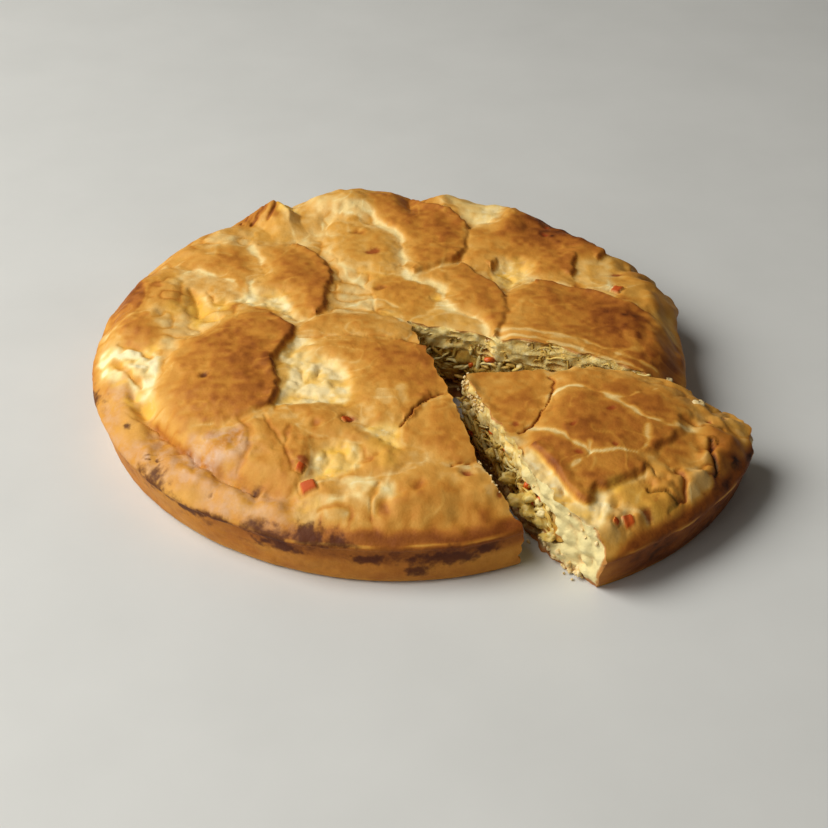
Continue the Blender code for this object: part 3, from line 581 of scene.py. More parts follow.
def lay_line(fields, line, x, y, grain):
    """Draws one crack, fissure, wrinkle or streak on the top, broken up along its length."""
    curve = smooth_line(line.points, False, CURVE_STEP)
    near = close_to(curve, CURVE_REACH * line.wide, x, y)
    if len(near) == 0:
        return
    distance = beside(curve, False, x[near], y[near])[0]
    middle, fine = grain["middle"][near], grain["fine"][near]
    breaks = 0.3 if line.brown > 0.75 else 1.0
    pale = line.brown < 0.5
    width = (1.3 if pale else 0.75) * line.wide * np.maximum(0.9 + breaks * (0.9 * middle + 0.5 * fine), 0.3)
    there = bell(distance, width)
    fields["level"][near] -= (0.6 if pale else 1.0) * line.deep * there
    if pale:
        halo = bell(distance, 3.6 * line.wide)
        fields["brown"][near] -= 0.10 * line.full * halo * soft_step(-0.5, 0.3, middle)
    share = np.clip(1.3 * there, 0.0, 1.0) * line.full * soft_step(-0.9, 0.1, breaks * (middle + 0.6 * fine))
    fields["brown"][near] = mix(fields["brown"][near], line.brown, (0.95 if pale else 1.0) * share)


def lay_dimple(fields, tint, dimple, x, y):
    """Presses one small pit into the top, or raises a lump, and tints it."""
    dimple_x, dimple_y, wide, deep = dimple
    distance = np.hypot(x - dimple_x, y - dimple_y) / wide
    there = bell(distance, 1.0)
    fields["level"] -= deep * there
    if deep > 0:
        fields["level"] += 0.15 * deep * bell(distance - 1.7, 0.6)
    share = np.clip(1.25 * there, 0.0, 1.0)
    if tint == "brown":
        fields["brown"] = mix(fields["brown"], np.maximum(fields["brown"], 0.78), share)
    else:
        fields[tint] = np.maximum(fields[tint], 0.85 * share)


def lay_pepper(fields, pepper, x, y):
    """Sets one small square of pepper in the top."""
    place_x, place_y, width, turn = pepper
    turned = math.radians(turn)
    across = (x - place_x) * math.cos(turned) + (y - place_y) * math.sin(turned)
    along = (y - place_y) * math.cos(turned) - (x - place_x) * math.sin(turned)
    reach = np.maximum(np.abs(across), 1.2 * np.abs(along)) / width
    there = soft_step(0.58, 0.46, reach)
    fields["level"] += 0.7 * there - 0.5 * bell(reach - 0.66, 0.12)
    fields["pepper"] = np.maximum(fields["pepper"], there)


def lay_lump(fields, lump, x, y):
    """Raises one lump of the slice's outer rim."""
    lump_x, lump_y, wide, rise, brown = lump
    reach = np.hypot(x - lump_x, y - lump_y) / wide
    fields["level"] += rise * soft_step(1.15, 0.0, reach)
    fields["brown"] = mix(fields["brown"], brown, soft_step(1.05, 0.5, reach))


def top_fields(x, y, part):
    """All the fields of a part's top at each place."""
    x, y = np.ravel(x), np.ravel(y)
    bent_x, bent_y = x + 3.0 * hills(x, y, 12, 45), y + 3.0 * hills(x, y, 12, 46)
    wander_x = x + 1.1 * hills(x, y, 9, 31) + 0.8 * hills(x, y, 3.2, 32) + 0.15 * hills(x, y, 1.6, 67)
    wander_y = y + 1.1 * hills(x, y, 9, 33) + 0.8 * hills(x, y, 3.2, 34) + 0.15 * hills(x, y, 1.6, 68)
    crinkle = 0.3 - np.abs(hills(bent_x, bent_y, 6.5, 44, 4.5))
    grain = {"broad": hills(x, y, 14, 35), "middle": hills(x, y, 6, 36), "fine": hills(x, y, 2.4, 37)}
    fields = bare_top(x, y, part.knobby)
    for lump in part.lumps:
        lay_lump(fields, lump, wander_x, wander_y)
    for plate in part.plates:
        lay_plate(fields, plate, wander_x, wander_y, grain)
    for line in part.lines:
        lay_line(fields, line, wander_x, wander_y, grain)
    for tint, dimples in part.dimples.items():
        for dimple in dimples:
            lay_dimple(fields, tint, dimple, wander_x, wander_y)
    for pepper in part.peppers:
        lay_pepper(fields, pepper, x, y)
    # Browner and paler patches: partly the skin's tone, partly painted shade and painted light
    for shade_x, shade_y, wide, long, more in SKIN_TONE_AND_PAINTED_LIGHT:
        reach = np.hypot((x - shade_x) / wide, (y - shade_y) / long) + 0.25 * grain["middle"]
        fields["brown"] += more * soft_step(1.4, 0.2, reach)
    if part is PIE:
        cracked = 0.5 * grain["fine"] + 0.7 * hills(bent_x, bent_y, 1.7, 65, 1.1)
        for speck_x, speck_y, wide in SPECKS:
            patch = soft_step(1.2, 0.3, np.hypot(wander_x - speck_x, wander_y - speck_y) / wide)
            fields["burn"] = np.maximum(fields["burn"], patch * soft_step(-0.2, 0.4, cracked))
        for sheen_x, sheen_y, wide, long in SHEENS:
            reach = np.hypot((x - sheen_x) / wide, (y - sheen_y) / long) + 0.3 * grain["middle"]
            fields["gloss_and_painted_sheen"] = np.maximum(fields["gloss_and_painted_sheen"], soft_step(1.2, 0.3, reach))
        # Painted shade: the crease inside the smooth rim is darkened brown
        groove = crease(*polar(x, y, part)) / -CREASE_DEPTH
        fields["brown"] = mix(fields["brown"], 0.74, 0.6 * groove ** 3)
    pocks = hills(x, y, 1.7, 38)
    wrinkled = soft_step(-0.4, 0.5, hills(x, y, 19, 48))
    web = bell(hills(bent_x, bent_y, 8.0, 50, 6.5), 0.09) * soft_step(-0.3, 0.5, hills(x, y, 11, 66))
    fields["level"] += 0.12 * grain["fine"] + 0.05 * pocks + 0.3 * wrinkled * crinkle + 0.10 * web
    fields["brown"] -= 0.02 * wrinkled * crinkle + 0.12 * web
    curds = np.abs(hills(x, y, 6.0, 39) + 0.3 * hills(x, y, 2.6, 49))
    fluff = 1.3 * curds - 0.4 + 0.12 * pocks
    fields["level"] += fields["soft"] * fluff
    streaks = hills(x / 7.0 + 0.5 * grain["middle"], y / 3.4, 1, 40)
    fields["brown"] += 0.05 * grain["fine"] + fields["soft"] * (0.13 * streaks - 0.12 * fluff)
    fields["yellow"] += fields["soft"] * 0.45 * soft_step(0.1, 0.7, streaks)
    fields["brown"] = np.clip(fields["brown"], 0.0, 1.0)
    return fields


def dome_height(radius):
    """The even dome under the plates."""
    return DOME_EDGE_HEIGHT + (DOME_HEIGHT - DOME_EDGE_HEIGHT) * (1.0 - (radius / DOME_REACH) ** 4)


def crust_profile():
    """Radii and heights from the middle of the top, over the shoulder, down the wall to the foot."""
    top = [(radius, dome_height(radius)) for radius in range(0, SHOULDER_RADIUS + 1, 5)]
    return smooth_line(top + list(SHOULDER) + list(WALL), False, 0.8).T


def polar(x, y, part):
    """Each place's radius and azimuth round a part's middle."""
    x, y = x - part.centre[0], y - part.centre[1]
    return np.hypot(x, y), np.arctan2(y, x)


def crease(radius, azimuth):
    """The groove inside the smooth rim, fading out at both of its ends."""
    turned = np.degrees(azimuth) % 360
    starts = soft_step(CREASE_FROM, CREASE_FROM + CREASE_FADE, turned)
    ends = 1.0 - soft_step(CREASE_TO - CREASE_FADE, CREASE_TO, turned)
    return -CREASE_DEPTH * starts * ends * bell(radius - CREASE_RADIUS, CREASE_WIDTH)


def rim_rise(radius, azimuth):
    """How much the knobs and dips lift the pie's edge at each place."""
    azimuths, rises = np.array(RIM_LEVELS).T
    turned = np.degrees(azimuth) + 2.0 * hills(radius / 6, azimuth * 9, 1, 12)
    rise = np.interp(turned % 360, azimuths, rises, period=360)
    return rise * soft_step(80.0, 98.0, radius) * soft_step(117.0, 110.0, radius)


def side_bulge(azimuth, height):
    """How much farther out the lumps at the back right stand over the pie's wall."""
    turned = np.degrees(azimuth) % 360
    around = soft_step(BULGE_FROM, BULGE_FROM + 7.0, turned) * soft_step(BULGE_TO, BULGE_TO - 7.0, turned)
    lumpy = 0.8 + 0.5 * hills(azimuth * 20, height / 6, 1, 13)
    return BULGE_DEPTH * lumpy * around * soft_step(5.0, 14.0, height)


def foot_flare(azimuth, height):
    """How much farther out the pie's wall stands near its foot at the front."""
    toward = np.maximum(np.cos(azimuth - math.radians(FLARE_TOWARD)), 0.0) ** 4
    return FOOT_FLARE * toward * soft_step(LEDGE_HEIGHT, 0.0, height)


def disc_from_square(a, b):
    """Spreads a square's points evenly over a disc, as shares of its radius and azimuths."""
    wide = np.abs(a) > np.abs(b)
    reach = np.where(wide, a, b)
    safe = np.where(reach == 0.0, 1.0, reach)
    angle = np.where(wide, math.pi / 4 * b / safe, math.pi / 2 - math.pi / 4 * a / safe)
    return np.abs(reach), np.where(reach < 0.0, angle + math.pi, angle)


def finish_height(x, y, height, radius, azimuth, level, part):
    """The profile's height with the rise to the back, the top's level and the crease."""
    height = height * (1.0 + BACK_RISE * np.sin(azimuth) * soft_step(70.0, 118.0, radius))
    height = height + (1.0 - soft_step(*part.fade, radius)) * level
    on_rim = soft_step(98.0, 108.0, radius) * soft_step(2.0, 8.0, height)
    on_edge = on_rim * soft_step(16.0, 22.0, height)
    height = height + on_edge * (1.0 * hills(x, y, 9, 8) + 0.7 * hills(x, y, 4.2, 11))
    if part is PIE:
        height = height + crease(radius, azimuth) + rim_rise(radius, azimuth)
    return height, on_rim


def baked_shape(share, azimuth, part):
    """Places on the crust's outside, from the middle of its top (share 0) to its foot (share 1)."""
    radii, heights = crust_profile()
    lengths = np.concatenate([[0.0], np.cumsum(np.hypot(np.diff(radii), np.diff(heights)))])
    along = share * lengths[-1]
    radius = np.interp(along, lengths, radii)
    plain = np.interp(along, lengths, heights)
    x = part.centre[0] + radius * np.cos(azimuth)
    y = part.centre[1] + radius * np.sin(azimuth)
    fields = top_fields(x, y, part)
    height, on_rim = finish_height(x, y, plain, radius, azimuth, fields["level"], part)
    on_wall = soft_step(112.0, 118.0, radius) * soft_step(24.0, 20.0, plain)
    below_ledge = on_wall * soft_step(17.6, 16.2, plain)
    bulge = on_rim * 0.9 * waves(x, y, height, 14, 14, 7)
    bulge = bulge - 0.9 * below_ledge + on_wall * 0.22 * waves(x, y, height, 5, 4, 9)
    bulge = bulge + on_wall * 0.12 * waves(x, y, height, 1.9, 1.6, 10)
    if part is PIE:
        edge = soft_step(96.0, 110.0, radius)
        bulge = bulge + foot_flare(azimuth, height) + edge * side_bulge(azimuth, height)
    out_x, out_y = x + bulge * np.cos(azimuth), y + bulge * np.sin(azimuth)
    height = np.where(share > 0.9999, 0.0, np.maximum(height, 0.0))
    return out_x, out_y, height, x, y


def side_fields(fields, x, y, z, part):
    """Repaints the wall that baked against the tin, and the rounded edge above it."""
    radius, azimuth = polar(x, y, part)
    turned = np.degrees(azimuth) % 360
    around = np.radians(turned) * WIDEST_RADIUS
    corner = soft_step(88.0, 74.0, x) if part is SLICE else 0.0
    side_top = 22.5 - 4.0 * corner
    side = soft_step(113.5, 116.5, radius) * soft_step(side_top, side_top - 3.5, z)
    cloud = hills(around, z, 21, 51, 8) + 0.5 * hills(around, z, 8, 52, 5)
    # For the slice the wall's brown holds a painted shade, lifted towards the near corner, which lies less
    # in shade
    brown = part.wall_brown - 0.18 * corner + 0.07 * cloud + 0.04 * hills(around, z, 2.6, 53, 2.2)
    brown = brown - 0.14 * soft_step(2.6, 0.6, z)
    ledge = bell(z - LEDGE_LINE_HEIGHT - 0.5 * hills(around, z * 0, 17, 54), 0.45)
    ledge = ledge * soft_step(-0.6, 0.2, hills(around, z * 0, 12, 55))
    brown = mix(brown, 0.22, 0.8 * ledge)
    fields["brown"] = mix(fields["brown"], brown, side)
    for name in ("yellow", "red", "pepper", "burn", "soft", "gloss_and_painted_sheen"):
        fields[name] = fields[name] * (1.0 - side)
    if part is PIE:
        pie_side_fields(fields, radius, turned, around, z, side, cloud, ledge)
    fields["brown"] = np.clip(fields["brown"], 0.0, 1.0)
    fields["gloss_and_painted_sheen"] = fields["gloss_and_painted_sheen"] * (1.0 - fields["burn"])
    return fields


def pie_side_fields(fields, radius, turned, around, z, side, cloud, ledge):
    """The dark band above the pie's ledge, its smooth rim at the left front and its burnt places."""
    band_top = 20.6 + 0.9 * soft_step(284, 272, turned) + 0.8 * hills(around, z * 0, 5, 70)
    band = soft_step(band_top, band_top - 2.5, z) * soft_step(8.0, 13.0, z)
    band = band * soft_step(238, 258, turned) * soft_step(330, 300, turned)
    fields["brown"] = mix(fields["brown"], 0.86 + 0.10 * cloud, 0.9 * band * (1.0 - 0.8 * ledge))
    smooth_rim = soft_step(192, 204, turned) * soft_step(262, 246, turned)
    smooth_rim = smooth_rim * soft_step(104.5, 107.5, radius) * soft_step(14.0, 19.0, z)
    fields["brown"] = mix(fields["brown"], 0.50 + 0.10 * cloud, smooth_rim)
    # The smooth rim is glossy, and its colour takes the painted milky sheen as well
    fields["gloss_and_painted_sheen"] = np.maximum(fields["gloss_and_painted_sheen"], 0.55 * smooth_rim * soft_step(-0.6, 0.4, cloud))
    fields["soft"] = fields["soft"] * (1.0 - smooth_rim)
    ragged = 0.6 * hills(around, z, 3.1, 56, 1.8) + 0.4 * hills(around, z, 1.3, 57, 1.1)
    for azimuth, height, half_wide, half_high in BURNS:
        across = (turned - azimuth) / half_wide
        there = soft_step(1.9, 0.2, np.hypot(across, (z - height) / half_high) + 0.9 * ragged)
        fields["burn"] = np.maximum(fields["burn"], there * soft_step(111.0, 114.0, radius))
    scorched = hills(around, z, 7, 58, 2.4) + 0.5 * ragged
    reach = soft_step(196, 206, turned) * soft_step(294, 284, turned) * soft_step(7.0, 11.0, z)
    scorched = soft_step(0.25, 0.9, scorched) * reach * side * soft_step(19.0, 16.5, z)
    fields["burn"] = np.maximum(fields["burn"], 0.5 * scorched)


def top_height(x, y, part):
    """How high the top stands at each place, and its fields."""
    radii, heights = crust_profile()
    widest = int(np.argmax(radii)) + 1
    radius, azimuth = polar(x, y, part)
    fields = top_fields(x, y, part)
    plain = np.interp(radius, radii[:widest], heights[:widest])
    height, _ = finish_height(x, y, plain, radius, azimuth, fields["level"], part)
    return height, fields


def new_object(name, data):
    """Puts a mesh, camera or light in the scene under a name."""
    item = bpy.data.objects.new(name, data)
    bpy.context.scene.collection.objects.link(item)
    return item


def read_points(mesh):
    """A mesh's points as an array, in the mesh's own unit."""
    points = np.zeros(3 * len(mesh.vertices), np.float32)
    mesh.vertices.foreach_get("co", points)
    return points.reshape(-1, 3).astype(float)


def add_values(mesh, name, values):
    """Keeps one number on each of a mesh's points."""
    layer = mesh.attributes.new(name, "FLOAT", "POINT")
    layer.data.foreach_set("value", np.asarray(values, np.float32))


def crust_disc(name, part):
    """A whole baked disc, closed by a flat foot, with each top point's place in plan kept on it."""
    builder = bmesh.new()
    bmesh.ops.create_grid(builder, x_segments=CRUST_CELLS, y_segments=CRUST_CELLS, size=1.0)
    foot = [edge for edge in builder.edges if edge.is_boundary]
    bmesh.ops.contextual_create(builder, geom=foot)
    bmesh.ops.recalc_face_normals(builder, faces=builder.faces)
    mesh = bpy.data.meshes.new(name)
    builder.to_mesh(mesh)
    builder.free()
    square = read_points(mesh)
    share, azimuth = disc_from_square(square[:, 0], square[:, 1])
    x, y, z, plan_x, plan_y = baked_shape(share, azimuth, part)
    places = np.stack([x, y, z], axis=-1) * MM
    mesh.vertices.foreach_set("co", places.astype(np.float32).ravel())
    mesh.update()
    plan = mesh.attributes.new("plan", "FLOAT_VECTOR", "POINT")
    kept = np.stack([plan_x, plan_y, np.ones(len(plan_x))], axis=-1)
    plan.data.foreach_set("vector", kept.astype(np.float32).ravel())
    add_values(mesh, "proud", np.zeros(len(plan_x)))
    return new_object(name, mesh)


def even_points(outline, step):
    """Points about a step apart along a closed outline, its corners among them."""
    points = []
    for start, end in zip(outline, outline[1:] + outline[:1]):
        start, end = np.array(start), np.array(end)
        pieces = max(1, round(np.hypot(*(end - start)) / step))
        points += [start + (end - start) * k / pieces for k in range(pieces)]
    return np.array(points)


def outward(points):
    """The level direction out of a closed outline at each of its points."""
    ahead = np.roll(points, -1, axis=0) - np.roll(points, 1, axis=0)
    area = np.sum(points[:, 0] * np.roll(points[:, 1], -1) - points[:, 1] * np.roll(points[:, 0], -1))
    normal = np.stack([ahead[:, 1], -ahead[:, 0]], axis=-1) * np.sign(area)
    return normal / np.linalg.norm(normal, axis=1)[:, None]


def tube_faces(rings, sides):
    """The faces of a closed tube of so many rings, each of so many points, both ends last."""
    ring, side = np.meshgrid(np.arange(rings - 1), np.arange(sides), indexing="ij")
    start = (ring * sides + side).ravel()
    beside_it = (ring * sides + (side + 1) % sides).ravel()
    faces = np.stack([start, beside_it, beside_it + sides, start + sides], axis=-1).tolist()
    last = (rings - 1) * sides
    return faces + [list(range(sides)), list(range(last, last + sides))]


def tube_object(name, x, y, z, rings, proud=None):
    """A closed tube of so many rings, its faces turned outward, in metres in the scene."""
    mesh = bpy.data.meshes.new(name)
    mesh.from_pydata(np.stack([x, y, z], axis=-1).tolist(), [], tube_faces(rings, len(x) // rings))
    if proud is not None:
        add_values(mesh, "proud", proud)
    builder = bmesh.new()
    builder.from_mesh(mesh)
    bmesh.ops.recalc_face_normals(builder, faces=builder.faces)
    bmesh.ops.scale(builder, verts=builder.verts, vec=(MM, MM, MM))
    builder.to_mesh(mesh)
    builder.free()
    return new_object(name, mesh)


def batter_wall(x, y, z, seed):
    """How far a cut through batter stands in or out: torn crumb with small air holes."""
    crumb = 2.2 * np.abs(waves(x, y, z, 5.0, 4.4, seed + 20))
    crumb = crumb + 0.8 * np.abs(waves(x, y, z, 2.2, 2.0, seed + 30)) - 0.7
    leaves = 2.6 * np.abs(waves(x, y, z, 6.5, 2.8, seed + 50)) - 0.7
    leaves = leaves + 0.5 * waves(x, y, z, 2.6, 1.6, seed + 60)
    push = CUT_ROUGHNESS * waves(x, y, z, 6, 5, seed) + mix(crumb, leaves, soft_step(-52.0, -44.0, y))
    holes = np.maximum(waves(x, y, z, 3.2, 2.4, seed + 40) - 0.36, 0.0)
    return push, holes


def filling_wall(x, y, z, seed):
    """How far a cut through the filling stands in or out: matted strands with hollows between."""
    push = FILLING_ROUGHNESS * waves(x, y, z, 6, 5, seed) + 0.9 * waves(x, y, z, 4, 1.6, seed + 20)
    push = push + 0.5 * waves(x, y, z, 1.4, 3.2, seed + 30)
    holes = np.maximum(waves(x, y, z, 5, 4, seed + 40) - 0.35, 0.0) * 1.6
    return push, holes


def cut_column(name, part, wall, setback, seed):
    """A closed column over a part's outline, with torn walls and holes that go into the food."""
    points = even_points(part.outline, CUT_STEP)
    if setback:
        moved = points + outward(points) * setback
        distance = beside(points, True, moved[:, 0], moved[:, 1])[0]
        points = moved[distance > 0.8 * abs(setback)]
    for _ in range(2):
        points = 0.5 * points + 0.25 * (np.roll(points, 1, axis=0) + np.roll(points, -1, axis=0))
    rows = int((CUT_HIGH - CUT_LOW) / CUT_STEP)
    x, y = np.tile(points, (rows, 1)).T
    z = np.repeat(np.linspace(CUT_LOW, CUT_HIGH, rows), len(points))
    push, holes = wall(x, y, z, seed)
    push = push - part.side * HOLE_DEPTH * holes
    push = push * (soft_step(CUT_LOW, CUT_LOW + 2.0, z) * soft_step(CUT_HIGH, CUT_HIGH - 2.0, z))
    out_x, out_y = np.tile(outward(points), (rows, 1)).T
    return tube_object(name, x + out_x * push, y + out_y * push, z, rows, part.side * push)


def filling_height(radius):
    """The top of the filling, a lid's thickness under the dome."""
    return dome_height(radius) - LID_THICKNESS


def filling_lens(name, part, grow):
    """The filling's layer as a turned lens, or the pocket for it where it grows."""
    rounding = FILLING_RADIUS - FILLING_ROUNDING
    edge_top = filling_height(rounding)
    middle = (edge_top + FLOOR_THICKNESS) / 2
    half = (edge_top - FLOOR_THICKNESS) / 2 + grow
    outline = [(radius, filling_height(radius) + grow) for radius in range(1, 80, 3)]
    for angle in range(90, -91, -10):
        turned = math.radians(angle)
        reach = rounding + (FILLING_ROUNDING + grow) * math.cos(turned)
        outline.append((reach, middle + half * math.sin(turned)))
    outline += [(radius, FLOOR_THICKNESS - grow) for radius in range(79, 0, -3)]
    radii, heights = np.repeat(np.array(outline), LENS_SIDES, axis=0).T
    angles = np.tile(np.linspace(0.0, 2 * math.pi, LENS_SIDES, endpoint=False), len(outline))
    x = part.centre[0] + radii * np.cos(angles)
    y = part.centre[1] + radii * np.sin(angles)
    wavy = 1.0 + 1.8 * waves(x, y, heights, 6, 5, 62) / np.maximum(radii, 40.0)
    z = heights + 0.9 * waves(x, y, heights, 6, 6, 61)
    x = part.centre[0] + (x - part.centre[0]) * wavy
    y = part.centre[1] + (y - part.centre[1]) * wavy
    return tube_object(name, x, y, z, len(outline))


def boolean(item, cutter, operation):
    """Cuts an object, or keeps what it shares with the cutter, which gives its material and goes."""
    change = item.modifiers.new(operation.title(), "BOOLEAN")
    change.operation = operation
    change.object = cutter
    change.solver = "MANIFOLD"
    change.material_mode = "TRANSFER"
    bpy.context.view_layer.update()
    evaluated = item.evaluated_get(bpy.context.evaluated_depsgraph_get())
    mesh = bpy.data.meshes.new_from_object(evaluated)
    item.modifiers.clear()
    item.data = mesh
    bpy.data.objects.remove(cutter)


def cut_to_part(item, column, part):
    """Takes the gap out of the pie, or leaves only the slice."""
    boolean(item, column, "INTERSECT" if part is SLICE else "DIFFERENCE")


def paint_crust(item, part):
    """Writes the tints of the skin and of the cut batter onto a crust's points."""
    mesh = item.data
    points = read_points(mesh) / MM
    plan = np.zeros(3 * len(points), np.float32)
    mesh.attributes["plan"].data.foreach_get("vector", plan)
    plan = plan.reshape(-1, 3)
    skin = plan[:, 2] > 0.999
    x = np.where(skin, plan[:, 0], points[:, 0])
    y = np.where(skin, plan[:, 1], points[:, 1])
    z = points[:, 2]
    height, fields = top_height(x, y, part)
    fields = side_fields(fields, x, y, z, part)
    under = np.where(skin, 0.0, height - z)
    radius, azimuth = polar(points[:, 0], points[:, 1], part)
    wall = np.interp(z, [0.0, LEDGE_HEIGHT, 24.0], [FOOT_RADIUS, WIDEST_RADIUS, 114.0])
    if part is PIE:
        wall = wall + foot_flare(azimuth, z)
    else:
        corner = np.hypot(points[:, 0] - BROWN_CORNER[0], points[:, 1] - BROWN_CORNER[1])
        under = np.minimum(under, 0.25 * corner)
    tints = {name: fields[name] for name in ("brown", "yellow", "red", "pepper", "burn", "gloss_and_painted_sheen")}
    tints["under"] = np.minimum(np.maximum(under, 0.0), np.maximum(wall - radius, 0.0))
    tints["under"] += 1.5 * soft_step(0.42, 0.22, fields["brown"]) * (wall - radius > 3.0)
    tints["height"] = z
    # Painted light: the cut faces turn paler cream towards the slice's front end, which lies clear of the
    # pie's shadow
    tints["pale"] = 0.85 * soft_step(-80.0, -98.0, points[:, 1])
    # Painted shade: the cut faces turn darker brown low down, except at the slice's front end, as the narrow
    # gap between pie and slice lies in shade
    tints["painted_gap_shade"] = 0.9 * soft_step(15.0, 8.0, z) * soft_step(-106.0, -94.0, points[:, 1])
    for name, values in tints.items():
        add_values(mesh, name, values)
    mesh.attributes.remove(mesh.attributes["plan"])
    mesh.shade_smooth()
    mesh.set_sharp_from_angle(angle=math.radians(SHARP_ANGLE))


def shade(red, green, blue):
    """A colour given as it looks on a screen, from 0 to 255, for a shader."""
    levels = [channel / 255 for channel in (red, green, blue)]
    return tuple(v / 12.92 if v <= 0.04045 else ((v + 0.055) / 1.055) ** 2.4 for v in levels) + (1.0,)


class Shader:
    """A material under construction, with short ways to add and join its nodes."""

    def __init__(self, name, roughness):
        self.material = bpy.data.materials.new(name)
        self.material.use_nodes = True
        self.tree = self.material.node_tree
        self.surface = self.tree.nodes["Principled BSDF"]
        self.surface.inputs["Roughness"].default_value = roughness
        self.place = self.add("ShaderNodeTexCoord").outputs["Object"]

    def add(self, kind, **settings):
        node = self.tree.nodes.new(kind)
        for name, value in settings.items():
            setattr(node, name, value)
        return node

    def join(self, socket, value):
        if hasattr(value, "is_output"):
            self.tree.links.new(value, socket)
        else:
            socket.default_value = value

    def finish(self, colour, bump):
        self.join(self.surface.inputs["Base Color"], colour)
        self.join(self.surface.inputs["Normal"], bump)
        return self.material

    def tint(self, name):
        return self.add("ShaderNodeAttribute", attribute_name=name).outputs["Fac"]

    def noise(self, size, detail=3.0, roughness=0.55):
        node = self.add("ShaderNodeTexNoise")
        self.join(node.inputs["Vector"], self.place)
        node.inputs["Scale"].default_value = 1.0 / (size * MM)
        node.inputs["Detail"].default_value = detail
        node.inputs["Roughness"].default_value = roughness
        return node.outputs["Fac"]

    def sum(self, first, second, operation="ADD"):
        node = self.add("ShaderNodeMath", operation=operation)
        self.join(node.inputs[0], first)
        self.join(node.inputs[1], second)
        return node.outputs[0]

    def times(self, first, second):
        return self.sum(first, second, "MULTIPLY")

    def spread(self, value, low, high, out_low=0.0, out_high=1.0):
        node = self.add("ShaderNodeMapRange", interpolation_type="SMOOTHSTEP")
        self.join(node.inputs["Value"], value)
        for number, limit in enumerate((low, high, out_low, out_high)):
            node.inputs[number + 1].default_value = limit
        return node.outputs["Result"]

    def ramp(self, value, stops):
        node = self.add("ShaderNodeValToRGB")
        self.join(node.inputs["Fac"], value)
        steps = node.color_ramp.elements
        while len(steps) < len(stops):
            steps.new(0.5)
        for step, (position, colour) in zip(steps, stops):
            step.position = position
            step.color = shade(*colour)
        return node.outputs["Color"]

    def blend(self, share, first, second):
        node = self.add("ShaderNodeMix", data_type="RGBA")
        for number, value in ((0, share), (6, first), (7, second)):
            self.join(node.inputs[number], value)
        return node.outputs[2]

    def bump(self, height, depth, below=None):
        node = self.add("ShaderNodeBump")
        self.join(node.inputs["Height"], height)
        node.inputs["Distance"].default_value = depth * MM
        node.inputs["Strength"].default_value = 1.0
        if below is not None:
            self.join(node.inputs["Normal"], below)
        return node.outputs["Normal"]


def skin_material():
    """Baked batter skin: tan to dark brown, torn pale, its smoothest plates glossy with a painted milky
    sheen.
    """
    skin = Shader("baked_skin", 0.5)
    mottle = skin.sum(skin.noise(5.0), -0.5)
    grain = skin.sum(skin.noise(1.1, 4.0), -0.5)
    brown = skin.sum(skin.tint("brown"), skin.times(mottle, 0.08))
    brown = skin.sum(brown, skin.times(grain, 0.10))
    colour = skin.ramp(brown, SKIN_STOPS)
    yellow = skin.times(skin.tint("yellow"), skin.spread(skin.noise(3.0), 0.2, 0.5))
    colour = skin.blend(skin.times(yellow, 0.8), colour, shade(236, 184, 70))
    # Painted sheen: where the skin is glossy its colour is blended toward a pale milky pink, a highlight
    # painted into the colour
    painted_sheen = skin.times(skin.tint("gloss_and_painted_sheen"), skin.spread(skin.noise(4.5), 0.32, 0.70))
    colour = skin.blend(skin.times(painted_sheen, 0.8), colour, shade(206, 172, 142))
    red = skin.spread(skin.sum(skin.tint("red"), skin.times(grain, 0.5)), 0.1, 0.9)
    colour = skin.blend(skin.times(red, 0.85), colour, shade(142, 56, 14))
    colour = skin.blend(skin.times(skin.tint("pepper"), 0.92), colour, shade(190, 70, 10))
    burn = skin.spread(skin.sum(skin.tint("burn"), skin.times(grain, 0.7)), 0.05, 1.0)
    colour = skin.blend(skin.times(burn, 0.9), colour, shade(72, 26, 5))
    rough = skin.spread(skin.sum(skin.tint("gloss_and_painted_sheen"), skin.times(grain, 0.3)), 0.0, 1.0, 0.60, 0.32)
    skin.join(skin.surface.inputs["Roughness"], rough)
    skin.surface.inputs["Specular IOR Level"].default_value = 0.22
    fine = skin.bump(skin.noise(0.8, 4.0, 0.6), 0.10)
    return skin.finish(colour, skin.bump(skin.noise(2.6), 0.20, fine))


def cut_material():
    """Cut batter: a thin brown skin above and round, pale moist crumb, a brown foot, and painted shade and
    light.
    """
    cut = Shader("cut_batter", 0.62)
    uneven = cut.times(cut.sum(cut.noise(4.0), -0.5), 1.6)
    proud = cut.tint("proud")
    # The crumb is a little paler where the cut stands out and darker where it sinks in, a painted shade
    crumb = cut.ramp(cut.sum(cut.noise(2.4, 4.0, 0.6), cut.times(proud, 0.10)), CRUMB_STOPS)
    # Painted light: paler cream towards the slice's front end
    crumb = cut.blend(cut.tint("pale"), crumb, shade(228, 213, 152))
    # Painted shade: the crumb turns brown where the cut sinks into a hollow
    painted_hollow_shade = cut.spread(cut.sum(proud, uneven), -0.3, -1.6)
    crumb = cut.blend(cut.times(painted_hollow_shade, 0.65), crumb, shade(188, 128, 46))
    skin = cut.spread(cut.sum(cut.tint("under"), uneven), 0.3, 1.3)
    colour = cut.blend(skin, shade(190, 128, 54), crumb)
    # Painted gap shade: low on the cuts the colour turns to a shaded brown
    painted_gap_shade = cut.times(cut.tint("painted_gap_shade"), cut.spread(cut.noise(3.0), 0.3, 0.6, 0.5, 1.0))
    colour = cut.blend(painted_gap_shade, colour, shade(142, 84, 30))
    foot = cut.spread(cut.sum(cut.tint("height"), uneven), 0.7, 2.4)
    colour = cut.blend(foot, shade(168, 104, 42), colour)
    fine = cut.bump(cut.noise(0.7, 4.0, 0.65), 0.28)
    return cut.finish(colour, cut.bump(cut.noise(1.5, 4.0, 0.6), 0.35, fine))


